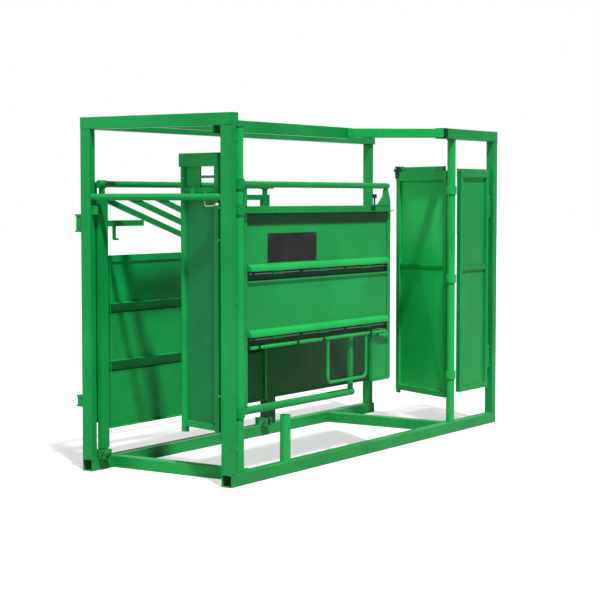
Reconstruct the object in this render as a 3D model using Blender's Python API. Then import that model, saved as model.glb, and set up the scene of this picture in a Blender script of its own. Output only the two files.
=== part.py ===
"""Cattle squeeze chute: welded tube frame, head door, tail door, swing-out side with drop
panels, and a squeeze side that leans inwards.

Sizes are in metres.  Inside this file a place on the chute is given as (along, across, up):
along runs from the front face rearwards, across runs from the near side to the far side and
up starts at the ground.  The model's own origin is the middle of its footprint on the ground,
with +X rearwards, +Y to the far side and +Z up.
"""

from math import radians, sin, cos, tan

import bmesh
import bpy
from mathutils import Matrix, Vector

# ------------------------------------------------------------------ driving dimensions

LENGTH = 3.43            # front face to the rear ends of the rails
WIDTH = 1.147            # outside of the near rail to the outside of the far rail
HEIGHT = 2.20            # ground to the top of the top rails
LUG_REACH = 0.053        # how far the far front post's side lugs stand out

GAP = 0.0003             # left between two pieces that touch
TUBE = 0.075             # main square tube
TUBE_WALL = 0.005
FRONT_POST_DEEP = 0.050  # the front posts are flat tube, this deep along the chute
REAR_POST = 0.060
PIPE_RADIUS = 0.030      # round hinge pipes
PIPE_WALL = 0.004
PIPE_INSET = 0.0385      # from the near side to a hinge pipe's centre
PIPE_CLEAR = 0.0006      # running clearance of a collar on its pipe
COLLAR_WALL = 0.0075
COLLAR_TALL = 0.060

FRONT_PIPE_ALONG = 0.128
TAIL_PIPE_ALONG = 2.774
FRONT_CROSS_ALONG = 0.210
REAR_CROSS_ALONG = 2.727
CENTRE_RAIL_ACROSS = 0.550
CENTRE_RAIL_END = 2.245
NEAR_RAIL_START = 2.595
BRACE_WIDE = 0.064
STUB_ALONG = 0.620
STUB_RADIUS = 0.033
STUB_TOP = 0.365
STUB_BORE_DEEP = 0.045
STRAP_TALL = 0.040
STRAPS_UP = (0.200, 1.080, 2.040)          # straps from the near front post to its hinge pipe
FAR_LUG_PAIRS = ((0.400, 0.460), (1.490, 1.590))  # outer lugs of the far front post
FAR_LUG_HOLE_IN = 0.020                    # from a lug's outer end to its hole
FAR_TAB_UP = (1.600, 1.655)

FRONT_BAR_RADIUS = 0.021
FRONT_BAR_UP = 1.708
STOP_LUG_ACROSS = 0.295
STOP_LUG_TALL = 0.052

LUG_THICK = 0.012
PIN_RADIUS = 0.009
PIN_CLEAR = 0.0004
PIN_HEAD_RADIUS = 0.015
PIN_HEAD_TALL = 0.009
SLEEVE_RADIUS = 0.017

HEAD_AXIS_ALONG = 0.080
HEAD_AXIS_OUT = 0.036            # from the near front post's inner face
HEAD_HINGES = ((0.283, 0.530), (1.450, 1.640))
HEAD_ANGLE = 15.0                # how far the head door stands open, rearwards
HEAD_WIDE = 0.376                # hinge axis to the leading pipe's centre
HEAD_STILE = 0.040
HEAD_LEAD_RADIUS = 0.0235
HEAD_BOTTOM = 0.280
HEAD_TOP = 1.970
HEAD_BEAM_TALL = 0.080
HEAD_SHEET_TOP = 1.735
HEAD_RAIL_TALL = 0.035           # bottom rail
HEAD_LIGHT_BAR = (1.820, 1.836)  # thin bar across the head door's window
HEAD_WINDOW_SIDE = 0.230         # hinge axis to the window's far side
HEAD_PLATE_START = 0.215

LEVER_ACROSS = 0.155
LEVER_RADIUS = 0.012
LEVER_LONG = 0.122
LEVER_LEAN = 28.0

TAIL_ANGLE = 26.0
TAIL_WIDE = 0.685
TAIL_BOTTOM = 0.250
TAIL_TOP = 1.900
TAIL_STILE = 0.045
TAIL_MID = 1.190
TAIL_BEAM_TALL = 0.070
TAIL_RAIL_TALL = 0.040
TAIL_COLLARS_UP = (0.420, 1.120, 1.760)
BRACKET_REACH = (0.060, 0.020)   # of the corner bracket, inwards and past the leading edge
BRACKET_DROP = 0.120
BRACKET_RISE = 0.020

REAR_GATE_BOTTOM = 0.285
REAR_GATE_TOP = 1.915
REAR_GATE_WIDE = 0.470
REAR_GATE_BEAM_TALL = 0.060
REAR_GATE_RAIL_TALL = 0.035
REAR_GATE_AXIS_OUT = 0.026       # from the near rear post's front face
REAR_HINGES = ((0.430, 0.570), (1.560, 1.700))

SHEET = 0.004
SIDE_START_CLEAR = 0.0059        # from a collar to the side's front upright
SIDE_END = 1.900
SIDE_UPRIGHT = 0.045
SIDE_WALL = 0.003
SIDE_BACK = 0.070                # inner face of the side's frame, across
SIDE_FRONT = 0.036               # outer face of the side's frame, across
SIDE_TOP = 1.653
SIDE_RAIL_TALL = 0.040
SIDE_REAR_BOTTOM = 0.476
SIDE_BAR_UP = 1.784
SIDE_BAR_RADIUS = 0.019
SIDE_ARM = 0.014                 # thickness of the arms between the top bar and the top rail
LOWER_TUBE_UP = 0.430
LOWER_TUBE_RADIUS = 0.024
LOWER_TUBE_END = 1.430
KICK_START = 1.640

DROP_AXIS_ACROSS = 0.026
DROP_BARREL_RADIUS = 0.010
DROP_ROD_RADIUS = 0.006
DROP_FLANGE_UP = 0.012           # hinge axis to the underside of the panel's lower lip
LIP_THICK = 0.006
LIP_OUT = 0.034                  # from the sheet's inner face to the lip's outer edge
DROP_SHEET_ACROSS = 0.044        # the sheet's inner face
UPPER_PANEL = (1.262, 1.600)     # underside of the lip, top edge
MIDDLE_PANEL = (0.868, 1.205)
STOP_IN = 0.002                  # from a closed panel to the stop strip behind it
STOP_LAP = 0.019                 # how far a stop strip reaches below a panel's top edge
DROP_LUG_WIDE = 0.024
DROP_LUGS = 4

LATCH_ACROSS = 0.018
LATCH_UP = 0.806
LATCH_RADIUS = 0.0105
LATCH_ALONG = (0.225, 1.800)
LATCH_BRACKETS = (0.300, 0.720, 1.020, 1.600)
LOOP_ALONG = (1.080, 1.550)
LOOP_BOTTOM = 0.520
LOOP_RADIUS = 0.010

PULL_ALONG = 1.660
PULL_OUT = 0.020                 # pin's centre in front of the upper panel's sheet
PULL_RADIUS = 0.006
PULL_KNOB_RADIUS = 0.015
PULL_BRACKET = 0.008
PULL_TRAVEL = 0.035

LABEL_ALONG = (0.433, 0.977)
LABEL_UP = (1.312, 1.488)

FAR_AXIS_IN = 0.036              # from the far base rail's inner face to the lean axis
FAR_AXIS_UP = 0.110
FAR_UPRIGHT = 0.038
FAR_START = 0.058
FAR_UPRIGHT_LONG = 0.068
FAR_FOOT_LONG = 0.040
FAR_BAR_UP = 1.788
FAR_BAR_RADIUS = 0.020
FAR_RAIL = (1.688, 1.726)
FAR_MID_BAR = (1.525, 1.562)
FAR_PANELS = ((0.262, 0.610), (0.680, 0.977), (1.040, 1.344))
FAR_BRACE_STEP = 0.270
FAR_BRACE_FIRST = 0.075
FAR_BRACE_SLOPE = 16.7
FAR_BRACE_WIDE = 0.036
FAR_HINGES = (0.092, 1.870)
FAR_RECESS = 0.022               # how far the strip above a lean panel stands back
FAR_REAR_START = 1.990           # fixed panel behind the squeeze side
FAR_REAR_UPRIGHT = 0.040
FAR_REAR_SHEET_IN = 0.020

ROUND = 20               # sides of a round piece
THROUGH = 0.01           # how far a cut runs past the faces that it opens

# ------------------------------------------------------------------ worked out from them

INNER_NEAR = TUBE
INNER_FAR = WIDTH - TUBE
UNDER_TOP = HEIGHT - TUBE
COLLAR_RADIUS = PIPE_RADIUS + PIPE_CLEAR + COLLAR_WALL
SIDE_START = FRONT_PIPE_ALONG + COLLAR_RADIUS + SIDE_START_CLEAR
FAR_AXIS_ACROSS = INNER_FAR - FAR_AXIS_IN
FAR_INNER = INNER_FAR - FAR_UPRIGHT
HEAD_AXIS_ACROSS = INNER_NEAR + HEAD_AXIS_OUT
REAR_POST_ALONG = LENGTH - REAR_POST
REAR_GATE_AXIS_ALONG = REAR_POST_ALONG - REAR_GATE_AXIS_OUT
ORIGIN = Vector((LENGTH / 2, (WIDTH + LUG_REACH) / 2, 0.0))

GREEN = (0.010, 0.330, 0.075)
BRIGHT_GREEN = (0.014, 0.400, 0.090)
DARK_GREEN = (0.008, 0.150, 0.045)
STEEL = (0.33, 0.33, 0.32)
BLACK = (0.020, 0.022, 0.022)
LABEL_GREY = (0.16, 0.16, 0.15)


# ------------------------------------------------------------------ solids

def block(along, across, up):
    """A box between pairs of limits on the three directions."""
    solid = bmesh.new()
    low = Vector((along[0], across[0], up[0]))
    high = Vector((along[1], across[1], up[1]))
    bmesh.ops.create_cube(solid, size=1.0)
    for vert in solid.verts:
        vert.co = Vector([low[i] + (vert.co[i] + 0.5) * (high[i] - low[i]) for i in range(3)])
    return solid


def rod(start, end, radius, sides=ROUND):
    """A round bar between two points."""
    start, end = Vector(start), Vector(end)
    solid = bmesh.new()
    bmesh.ops.create_cone(solid, cap_ends=True, segments=sides, radius1=radius, radius2=radius,
                          depth=(end - start).length)
    turn = (end - start).to_track_quat("Z", "Y").to_matrix().to_4x4()
    bmesh.ops.transform(solid, matrix=Matrix.Translation((start + end) / 2) @ turn, verts=solid.verts)
    return solid


def about(centre, reach):
    """Limits that reach equally far to both sides of a centre."""
    return centre - reach, centre + reach


def past(limits):
    """Limits a little beyond the given ones, so that a cut goes right through."""
    return limits[0] - THROUGH, limits[1] + THROUGH


def rod_along(along, across, up, radius, sides=ROUND):
    return rod((along[0], across, up), (along[1], across, up), radius, sides)


def rod_across(along, across, up, radius, sides=ROUND):
    return rod((along, across[0], up), (along, across[1], up), radius, sides)


def rod_up(along, across, up, radius, sides=ROUND):
    return rod((along, across, up[0]), (along, across, up[1]), radius, sides)


def slab(outline, across):
    """A plate drawn on the along-up plane and made thick across the chute."""
    solid = bmesh.new()
    face = solid.faces.new([solid.verts.new((along, across[0], up)) for along, up in outline])
    grown = bmesh.ops.extrude_face_region(solid, geom=[face])
    moved = [item for item in grown["geom"] if isinstance(item, bmesh.types.BMVert)]
    bmesh.ops.translate(solid, verts=moved, vec=(0.0, across[1] - across[0], 0.0))
    bmesh.ops.recalc_face_normals(solid, faces=solid.faces)
    return solid


def swept_rod(points, radius, sides=12):
    """A round bar bent through the given points, closed at both ends."""
    curve = bpy.data.curves.new("bent_bar", "CURVE")
    curve.dimensions = "3D"
    curve.bevel_depth = radius
    curve.bevel_resolution = (sides - 4) // 2
    curve.use_fill_caps = True
    spline = curve.splines.new("POLY")
    spline.points.add(len(points) - 1)
    for point, place in zip(spline.points, points):
        point.co = (*place, 1.0)
    holder = bpy.data.objects.new("bent_bar", curve)
    bpy.context.scene.collection.objects.link(holder)
    bpy.context.view_layer.update()
    graph = bpy.context.evaluated_depsgraph_get()
    mesh = bpy.data.meshes.new_from_object(holder.evaluated_get(graph))
    solid = bmesh.new()
    solid.from_mesh(mesh)
    bmesh.ops.remove_doubles(solid, verts=solid.verts, dist=0.00005)
    bmesh.ops.recalc_face_normals(solid, faces=solid.faces)
    bpy.data.objects.remove(holder)
    return solid


def bend(corner, before, after, radius, steps=5):
    """Points of a round bend at a corner between two straight runs."""
    corner, before, after = Vector(corner), Vector(before), Vector(after)
    run_in = (before - corner).normalized()
    run_out = (after - corner).normalized()
    start, end = corner + run_in * radius, corner + run_out * radius
    return [start.lerp(corner, t).lerp(corner.lerp(end, t), t) for t in [i / steps for i in range(steps + 1)]]


# ------------------------------------------------------------------ objects and materials

def paint(name, color, roughness=0.42, metallic=0.0):
    material = bpy.data.materials.new(name)
    material.use_nodes = True
    shader = material.node_tree.nodes["Principled BSDF"]
    shader.inputs["Base Color"].default_value = (*color, 1.0)
    shader.inputs["Roughness"].default_value = roughness
    shader.inputs["Metallic"].default_value = metallic
    material.diffuse_color = (*color, 1.0)
    return material


def temporary(solid):
    mesh = bpy.data.meshes.new("solid")
    solid.to_mesh(mesh)
    solid.free()
    holder = bpy.data.objects.new("solid", mesh)
    bpy.context.scene.collection.objects.link(holder)
    return holder


def make(name, solids, cuts=(), color=GREEN, at=(0.0, 0.0, 0.0), turn=0.0, local=False, metallic=0.0,
         roughness=0.42):
    """Weld the solids, take the cuts out, and place the piece with its origin at `at`.

    Solids are drawn in chute places, or with local=True around the piece's own origin, which
    is then turned about the vertical by `turn` degrees.
    """
    base = temporary(solids[0])
    tools = [(temporary(solid), "UNION") for solid in solids[1:]]
    tools += [(temporary(solid), "DIFFERENCE") for solid in cuts]
    for tool, operation in tools:
        step = base.modifiers.new(operation.lower(), "BOOLEAN")
        step.operation = operation
        step.solver = "EXACT"
        step.object = tool
    bpy.context.view_layer.update()
    graph = bpy.context.evaluated_depsgraph_get()
    mesh = bpy.data.meshes.new_from_object(base.evaluated_get(graph))
    for holder in [base] + [tool for tool, _ in tools]:
        bpy.data.objects.remove(holder)
    at = Vector(at)
    if not local:
        mesh.transform(Matrix.Translation(-at))
    mesh.name = name
    mesh.shade_smooth()
    mesh.set_sharp_from_angle(angle=radians(32.0))
    mesh.materials.clear()
    mesh.materials.append(paint(name, color, roughness, metallic))
    piece = bpy.data.objects.new(name, mesh)
    piece.location = at - ORIGIN
    piece.rotation_euler = (0.0, 0.0, radians(turn))
    bpy.context.scene.collection.objects.link(piece)
    return piece


def hollow(along, across, up, axis, wall=TUBE_WALL):
    """A square tube's outer block and the cut for its inside, open at both ends."""
    limits = [along, across, up]
    inner = []
    for index, (low, high) in enumerate(limits):
        inner.append((low - 0.01, high + 0.01) if index == axis else (low + wall, high - wall))
    return block(*limits), block(*inner)


def square_tube(name, along, across, up, axis, extra=(), cuts=(), wall=TUBE_WALL, color=GREEN):
    outer, inner = hollow(along, across, up, axis, wall)
    return make(name, [outer, *extra], [inner, *cuts], color)


def hinge_lug(along, across, up, axis_along, axis_across):
    """A flat lug on a post, rounded about its pin, and the hole for the pin."""
    plate = block(along, across, (up, up + LUG_THICK))
    nose = rod_up(axis_along, axis_across, (up, up + LUG_THICK), SLEEVE_RADIUS)
    hole = rod_up(axis_along, axis_across, (up - 0.01, up + LUG_THICK + 0.01), PIN_RADIUS + PIN_CLEAR)
    return [plate, nose], hole


def hinge_pin(name, along, across, low, high):
    """A headed pin through a pair of lugs."""
    head = high + LUG_THICK + GAP
    make(name, [rod_up(along, across, (low - 0.012, head + 0.002), PIN_RADIUS),
                rod_up(along, across, (head, head + PIN_HEAD_TALL), PIN_HEAD_RADIUS)],
         color=STEEL, metallic=1.0, roughness=0.45)


# ------------------------------------------------------------------ the fixed frame

def base_frame():
    for name, low in (("base_rail_near", 0.0), ("base_rail_far", INNER_FAR)):
        extra, cuts = ([], [])
        if name == "base_rail_far":
            for along in FAR_HINGES:
                for side in (-1, 1):
                    lug, hole = squeeze_lug(along, side)
                    extra.append(lug)
                    cuts.append(hole)
        square_tube(name, (0.0, LENGTH), (low, low + TUBE), (0.0, TUBE), 0, extra, cuts)
    for name, along in (("base_cross_front", FRONT_CROSS_ALONG), ("base_cross_rear", REAR_CROSS_ALONG)):
        square_tube(name, (along, along + TUBE - 0.002), (INNER_NEAR + GAP, INNER_FAR - GAP),
                    (0.0, TUBE - 0.002), 1)


def squeeze_lug(along, side):
    """One of a pair of upright lugs that carry a foot of the squeeze side."""
    centre = along + side * (FAR_FOOT_LONG / 2 + LUG_THICK / 2 + 0.001)
    span = about(centre, LUG_THICK / 2)
    lug = block(span, (FAR_AXIS_ACROSS - 0.020, INNER_FAR + 0.045), (TUBE - 0.002, FAR_AXIS_UP + 0.022))
    hole = rod_along(past(span), FAR_AXIS_ACROSS, FAR_AXIS_UP, PIN_RADIUS + PIN_CLEAR)
    return lug, hole


def posts():
    post_up = (TUBE + GAP, UNDER_TOP - GAP)
    near_lugs, near_holes = [], []
    for low, high in HEAD_HINGES:
        for up in (low, high):
            solids, hole = hinge_lug((0.012, HEAD_AXIS_ALONG), (INNER_NEAR - 0.003, HEAD_AXIS_ACROSS), up,
                                     HEAD_AXIS_ALONG, HEAD_AXIS_ACROSS)
            near_lugs += solids
            near_holes.append(hole)
    square_tube("post_front_near", (0.0, FRONT_POST_DEEP), (0.0, TUBE), post_up, 2,
                near_lugs, near_holes)

    far_lugs, far_holes = [], []
    for low, high in FAR_LUG_PAIRS:
        for up in (low, high):
            far_lugs.append(block((0.006, FRONT_POST_DEEP - 0.006), (WIDTH - 0.003, WIDTH + LUG_REACH),
                                  (up, up + LUG_THICK)))
            far_holes.append(rod_up(FRONT_POST_DEEP / 2, WIDTH + LUG_REACH - FAR_LUG_HOLE_IN,
                                    past((up, up + LUG_THICK)), PIN_RADIUS))
    far_lugs.append(block((0.016, 0.030), (INNER_FAR - 0.045, INNER_FAR + 0.003), FAR_TAB_UP))
    square_tube("post_front_far", (0.0, FRONT_POST_DEEP), (INNER_FAR, WIDTH), post_up, 2,
                far_lugs, far_holes)

    rear_lugs, rear_holes = [], []
    for low, high in REAR_HINGES:
        for up in (low, high):
            solids, hole = hinge_lug((REAR_GATE_AXIS_ALONG, REAR_POST_ALONG + 0.003),
                                     about(REAR_POST / 2, 0.012), up,
                                     REAR_GATE_AXIS_ALONG, REAR_POST / 2)
            rear_lugs += solids
            rear_holes.append(hole)
    square_tube("post_rear_near", (REAR_POST_ALONG, LENGTH), (0.0, REAR_POST), post_up, 2,
                rear_lugs, rear_holes)
    square_tube("post_rear_far", (REAR_POST_ALONG, LENGTH), (WIDTH - REAR_POST, WIDTH),
                post_up, 2)


def pipe_posts():
    """The two round pipes that the swing-out side and the tail door hang on."""
    for name, along, straps in (("pipe_post_front", FRONT_PIPE_ALONG, True),
                                ("pipe_post_tail", TAIL_PIPE_ALONG, False)):
        top = UNDER_TOP - GAP
        solids = [rod_up(along, PIPE_INSET, (TUBE + GAP, top), PIPE_RADIUS)]
        cut = rod_up(along, PIPE_INSET, (TUBE - 0.01, top + 0.01), PIPE_RADIUS - PIPE_WALL)
        if straps:
            for up in STRAPS_UP:
                solids.append(block((FRONT_POST_DEEP + GAP, along - PIPE_RADIUS + 0.002),
                                    about(PIPE_INSET, 0.012), (up, up + STRAP_TALL)))
        make(name, solids, [cut], BRIGHT_GREEN)


def top_frame():
    top = (UNDER_TOP, HEIGHT)
    square_tube("top_cross_front", (0.0, TUBE), (0.0, WIDTH), top, 1)
    square_tube("top_rail_far", (TUBE + GAP, LENGTH), (INNER_FAR, WIDTH), top, 0)
    square_tube("top_rail_near", (NEAR_RAIL_START, LENGTH), (0.0, TUBE), top, 0)
    square_tube("top_rail_centre", (TUBE + GAP, CENTRE_RAIL_END),
                (CENTRE_RAIL_ACROSS, CENTRE_RAIL_ACROSS + TUBE), top, 0)
    top_brace()


def top_brace():
    """Slanted tube from the centre rail's rear end to the near rail's front end, mitred to both."""
    near_end = Vector((NEAR_RAIL_START - GAP, TUBE / 2, 0.0))
    far_end = Vector((CENTRE_RAIL_END - TUBE / 2, CENTRE_RAIL_ACROSS - GAP, 0.0))
    run = far_end - near_end
    side = Vector((-run.y, run.x, 0.0)).normalized() * BRACE_WIDE / 2
    middle_up = HEIGHT - TUBE / 2
    half_tall = BRACE_WIDE / 2
    reach = run.normalized() * BRACE_WIDE
    solid = bmesh.new()
    ring = [near_end - reach + side, near_end - reach - side, far_end + reach - side, far_end + reach + side]
    face = solid.faces.new([solid.verts.new((p.x, p.y, middle_up - half_tall)) for p in ring])
    grown = bmesh.ops.extrude_face_region(solid, geom=[face])
    raised = [item for item in grown["geom"] if isinstance(item, bmesh.types.BMVert)]
    bmesh.ops.translate(solid, verts=raised, vec=(0.0, 0.0, 2 * half_tall))
    bmesh.ops.recalc_face_normals(solid, faces=solid.faces)
    make("top_brace", [solid],
         [block((near_end.x, near_end.x + 0.4), (-0.2, 0.4), (UNDER_TOP - 0.1, HEIGHT + 0.1)),
          block((0.0, LENGTH), (far_end.y, far_end.y + 0.4), (UNDER_TOP - 0.1, HEIGHT + 0.1)),
          block((0.0, LENGTH), (-0.3, 0.004), (UNDER_TOP - 0.1, HEIGHT + 0.1))], BRIGHT_GREEN)


def front_details():
    centre = FRONT_BAR_RADIUS + 0.001
    bar_ends = (INNER_NEAR + GAP, INNER_FAR - GAP)
    stop_lug = block(about(centre, 0.008), about(STOP_LUG_ACROSS, 0.010),
                     (FRONT_BAR_UP, FRONT_BAR_UP + STOP_LUG_TALL))
    make("front_bar", [rod_across(centre, bar_ends, FRONT_BAR_UP, FRONT_BAR_RADIUS), stop_lug])
    stub = (STUB_ALONG, TUBE / 2)
    make("stub_post", [rod_up(*stub, (TUBE + GAP, STUB_TOP), STUB_RADIUS)],
         [rod_up(*stub, (STUB_TOP - STUB_BORE_DEEP, STUB_TOP + THROUGH), STUB_RADIUS - PIPE_WALL)],
         BRIGHT_GREEN)


# ------------------------------------------------------------------ head door

def head_hinges():
    for name, (low, high) in zip(("head_pin_lower", "head_pin_upper"), HEAD_HINGES):
        hinge_pin(name, HEAD_AXIS_ALONG, HEAD_AXIS_ACROSS, low, high)


def door_sleeve(low, high, reach):
    """The door's half of a hinge, between two lugs: a sleeve and the web that carries it."""
    span = (low + LUG_THICK + GAP, high - GAP)
    sleeve = rod_up(0.0, 0.0, (span[0], span[1]), SLEEVE_RADIUS - 0.001)
    web = block((0.011, reach), (-0.005, 0.005), (span[0] + 0.006, span[1] - 0.006))
    hole = rod_up(0.0, 0.0, past(span), PIN_RADIUS + PIN_CLEAR)
    return [sleeve, web], hole


def head_door():
    """The half head door; local x runs from the hinge to the leading pipe."""
    at = (HEAD_AXIS_ALONG, HEAD_AXIS_ACROSS, 0.0)
    turn = 90.0 - HEAD_ANGLE
    stile = (0.026, 0.026 + HEAD_STILE)
    half = HEAD_STILE / 2
    lead = HEAD_WIDE
    beam_low = HEAD_TOP - HEAD_BEAM_TALL
    rail_low = HEAD_BOTTOM + 0.035
    rail_high = rail_low + HEAD_RAIL_TALL
    solids = [block(stile, (-half, half), (HEAD_BOTTOM + 0.030, HEAD_TOP - 0.01)),
              rod_up(lead, 0.0, (HEAD_BOTTOM, beam_low + 0.01), HEAD_LEAD_RADIUS),
              block((stile[0], lead + HEAD_LEAD_RADIUS), (-0.026, 0.026), (beam_low, HEAD_TOP)),
              block((stile[1] - 0.005, lead), (-0.016, 0.016), (rail_low, rail_high)),
              block((stile[1] - 0.005, lead), (-0.016, 0.016), (HEAD_SHEET_TOP, HEAD_SHEET_TOP + 0.030)),
              block((stile[1] - 0.005, HEAD_WINDOW_SIDE), (-0.008, 0.008), HEAD_LIGHT_BAR),
              block((HEAD_PLATE_START, lead), (-0.004, 0.004), (HEAD_SHEET_TOP + 0.020, beam_low + 0.005))]
    cuts = []
    for low, high in HEAD_HINGES:
        sleeve, hole = door_sleeve(low, high, stile[0] + 0.004)
        solids += sleeve
        cuts.append(hole)
    make("head_door_frame", solids, cuts, at=at, turn=turn, local=True)
    make("head_door_sheet",
         [block((stile[1] + GAP, lead - HEAD_LEAD_RADIUS - GAP), (-SHEET / 2, SHEET / 2),
                (rail_high + GAP, HEAD_SHEET_TOP - GAP))], at=at, turn=turn, local=True)


def head_lever():
    """A stop lever that hangs from the front top rail behind the near post."""
    pivot_up = UNDER_TOP - 0.030
    pivot_along = HEAD_AXIS_ALONG + 0.030
    make("lever_bracket",
         [block((TUBE - 0.060, pivot_along + 0.016), (LEVER_ACROSS - 0.026, LEVER_ACROSS - 0.014),
                (pivot_up - 0.016, UNDER_TOP - GAP)),
          rod_across(pivot_along, (LEVER_ACROSS - 0.020, LEVER_ACROSS + 0.016), pivot_up, 0.007)],
         color=DARK_GREEN)
    lean = radians(LEVER_LEAN)
    end = (pivot_along + LEVER_LONG * sin(lean), LEVER_ACROSS, pivot_up - LEVER_LONG * cos(lean))
    make("head_lever",
         [rod_across(pivot_along, about(LEVER_ACROSS, 0.012), pivot_up, 0.016),
          rod((pivot_along, LEVER_ACROSS, pivot_up), end, LEVER_RADIUS)],
         [rod_across(pivot_along, about(LEVER_ACROSS, 0.02), pivot_up, 0.0074)],
         DARK_GREEN, at=(pivot_along, LEVER_ACROSS, pivot_up))


# ------------------------------------------------------------------ tail door and rear side gate

def collar(along, up, tall=COLLAR_TALL):
    ring = rod_up(along, PIPE_INSET, about(up, tall / 2), COLLAR_RADIUS)
    hole = rod_up(along, PIPE_INSET, about(up, tall), PIPE_RADIUS + PIPE_CLEAR)
    return ring, hole


def tail_door():
    """The tail door; local x runs from the pipe that it swings on to its leading edge."""
    at = (TAIL_PIPE_ALONG, PIPE_INSET, 0.0)
    turn = 90.0 - TAIL_ANGLE
    stile = (COLLAR_RADIUS - 0.004, COLLAR_RADIUS - 0.004 + TAIL_STILE)
    half = 0.018
    lead = (TAIL_WIDE - TAIL_STILE, TAIL_WIDE)
    beam_low = TAIL_TOP - TAIL_BEAM_TALL
    rail_high = TAIL_BOTTOM + TAIL_RAIL_TALL
    solids = [block(stile, (-half, half), (TAIL_BOTTOM, TAIL_TOP)),
              block(lead, (-half, half), (TAIL_BOTTOM, TAIL_TOP - 0.02)),
              block((stile[0], TAIL_WIDE - 0.002), (-0.022, 0.022), (beam_low, TAIL_TOP + 0.001)),
              block((stile[0] + 0.01, TAIL_WIDE - 0.01), (-0.016, -SHEET / 2 - GAP), about(TAIL_MID, 0.018)),
              block((stile[0] + 0.01, TAIL_WIDE - 0.003), (-0.021, 0.021), (TAIL_BOTTOM - 0.004, rail_high)),
              block((TAIL_WIDE - 0.030, TAIL_WIDE + 0.006), (-0.008, 0.008), about(TAIL_BOTTOM, 0.030))]
    cuts = []
    for up in TAIL_COLLARS_UP:
        solids.append(rod_up(0.0, 0.0, about(up, COLLAR_TALL / 2), COLLAR_RADIUS))
        cuts.append(rod_up(0.0, 0.0, about(up, COLLAR_TALL), PIPE_RADIUS + PIPE_CLEAR))
    make("tail_door_frame", solids, cuts, at=at, turn=turn, local=True)
    make("tail_door_sheet",
         [block((stile[1] + GAP, lead[0] - GAP), (-SHEET / 2, SHEET / 2),
                (rail_high + GAP, beam_low - GAP))],
         at=at, turn=turn, local=True, color=BRIGHT_GREEN)
    reach = (TAIL_WIDE - BRACKET_REACH[0], TAIL_WIDE + BRACKET_REACH[1])
    bracket_top = TAIL_TOP + BRACKET_RISE
    make("tail_door_bracket",
         [block(reach, (-0.034, -0.022 - GAP), (TAIL_TOP - BRACKET_DROP, bracket_top)),
          block(reach, (-0.034, 0.030), (TAIL_TOP + 0.001 + GAP, bracket_top))],
         color=BLACK, at=at, turn=turn, local=True)


def rear_gate():
    """The narrow gate behind the tail door; local x runs from its hinge towards the front."""
    at = (REAR_GATE_AXIS_ALONG, REAR_POST / 2, 0.0)
    stile = (0.024, 0.062)
    lead = (REAR_GATE_WIDE - 0.034, REAR_GATE_WIDE)
    beam_low = REAR_GATE_TOP - REAR_GATE_BEAM_TALL
    rail_high = REAR_GATE_BOTTOM + REAR_GATE_RAIL_TALL
    half = 0.016
    solids = [block(stile, (-half, half), (REAR_GATE_BOTTOM, REAR_GATE_TOP)),
              block(lead, (-half, half), (REAR_GATE_BOTTOM, REAR_GATE_TOP - 0.02)),
              block((stile[0] + 0.002, lead[1] - 0.002), (-0.019, 0.019), (beam_low, REAR_GATE_TOP + 0.001)),
              block((stile[0] + 0.01, lead[1] - 0.01), (-0.015, -SHEET / 2 - GAP), about(TAIL_MID, 0.018)),
              block((stile[0] + 0.003, lead[1] - 0.003), (-0.018, 0.018),
                    (REAR_GATE_BOTTOM - 0.003, rail_high))]
    cuts = []
    for low, high in REAR_HINGES:
        sleeve, hole = door_sleeve(low, high, stile[0] + 0.004)
        solids += sleeve
        cuts.append(hole)
    make("rear_gate_frame", solids, cuts, at=at, turn=180.0, local=True)
    make("rear_gate_sheet",
         [block((stile[1] + GAP, lead[0] - GAP), (-SHEET / 2, SHEET / 2),
                (rail_high + GAP, beam_low - GAP))],
         at=at, turn=180.0, local=True)
    for name, (low, high) in zip(("rear_pin_lower", "rear_pin_upper"), REAR_HINGES):
        hinge_pin(name, REAR_GATE_AXIS_ALONG, REAR_POST / 2, low, high)


# ------------------------------------------------------------------ swing-out near side

PIPE_AT = (FRONT_PIPE_ALONG, PIPE_INSET, 0.0)
SIDE_MIDDLE = (SIDE_FRONT + SIDE_BACK) / 2


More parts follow.
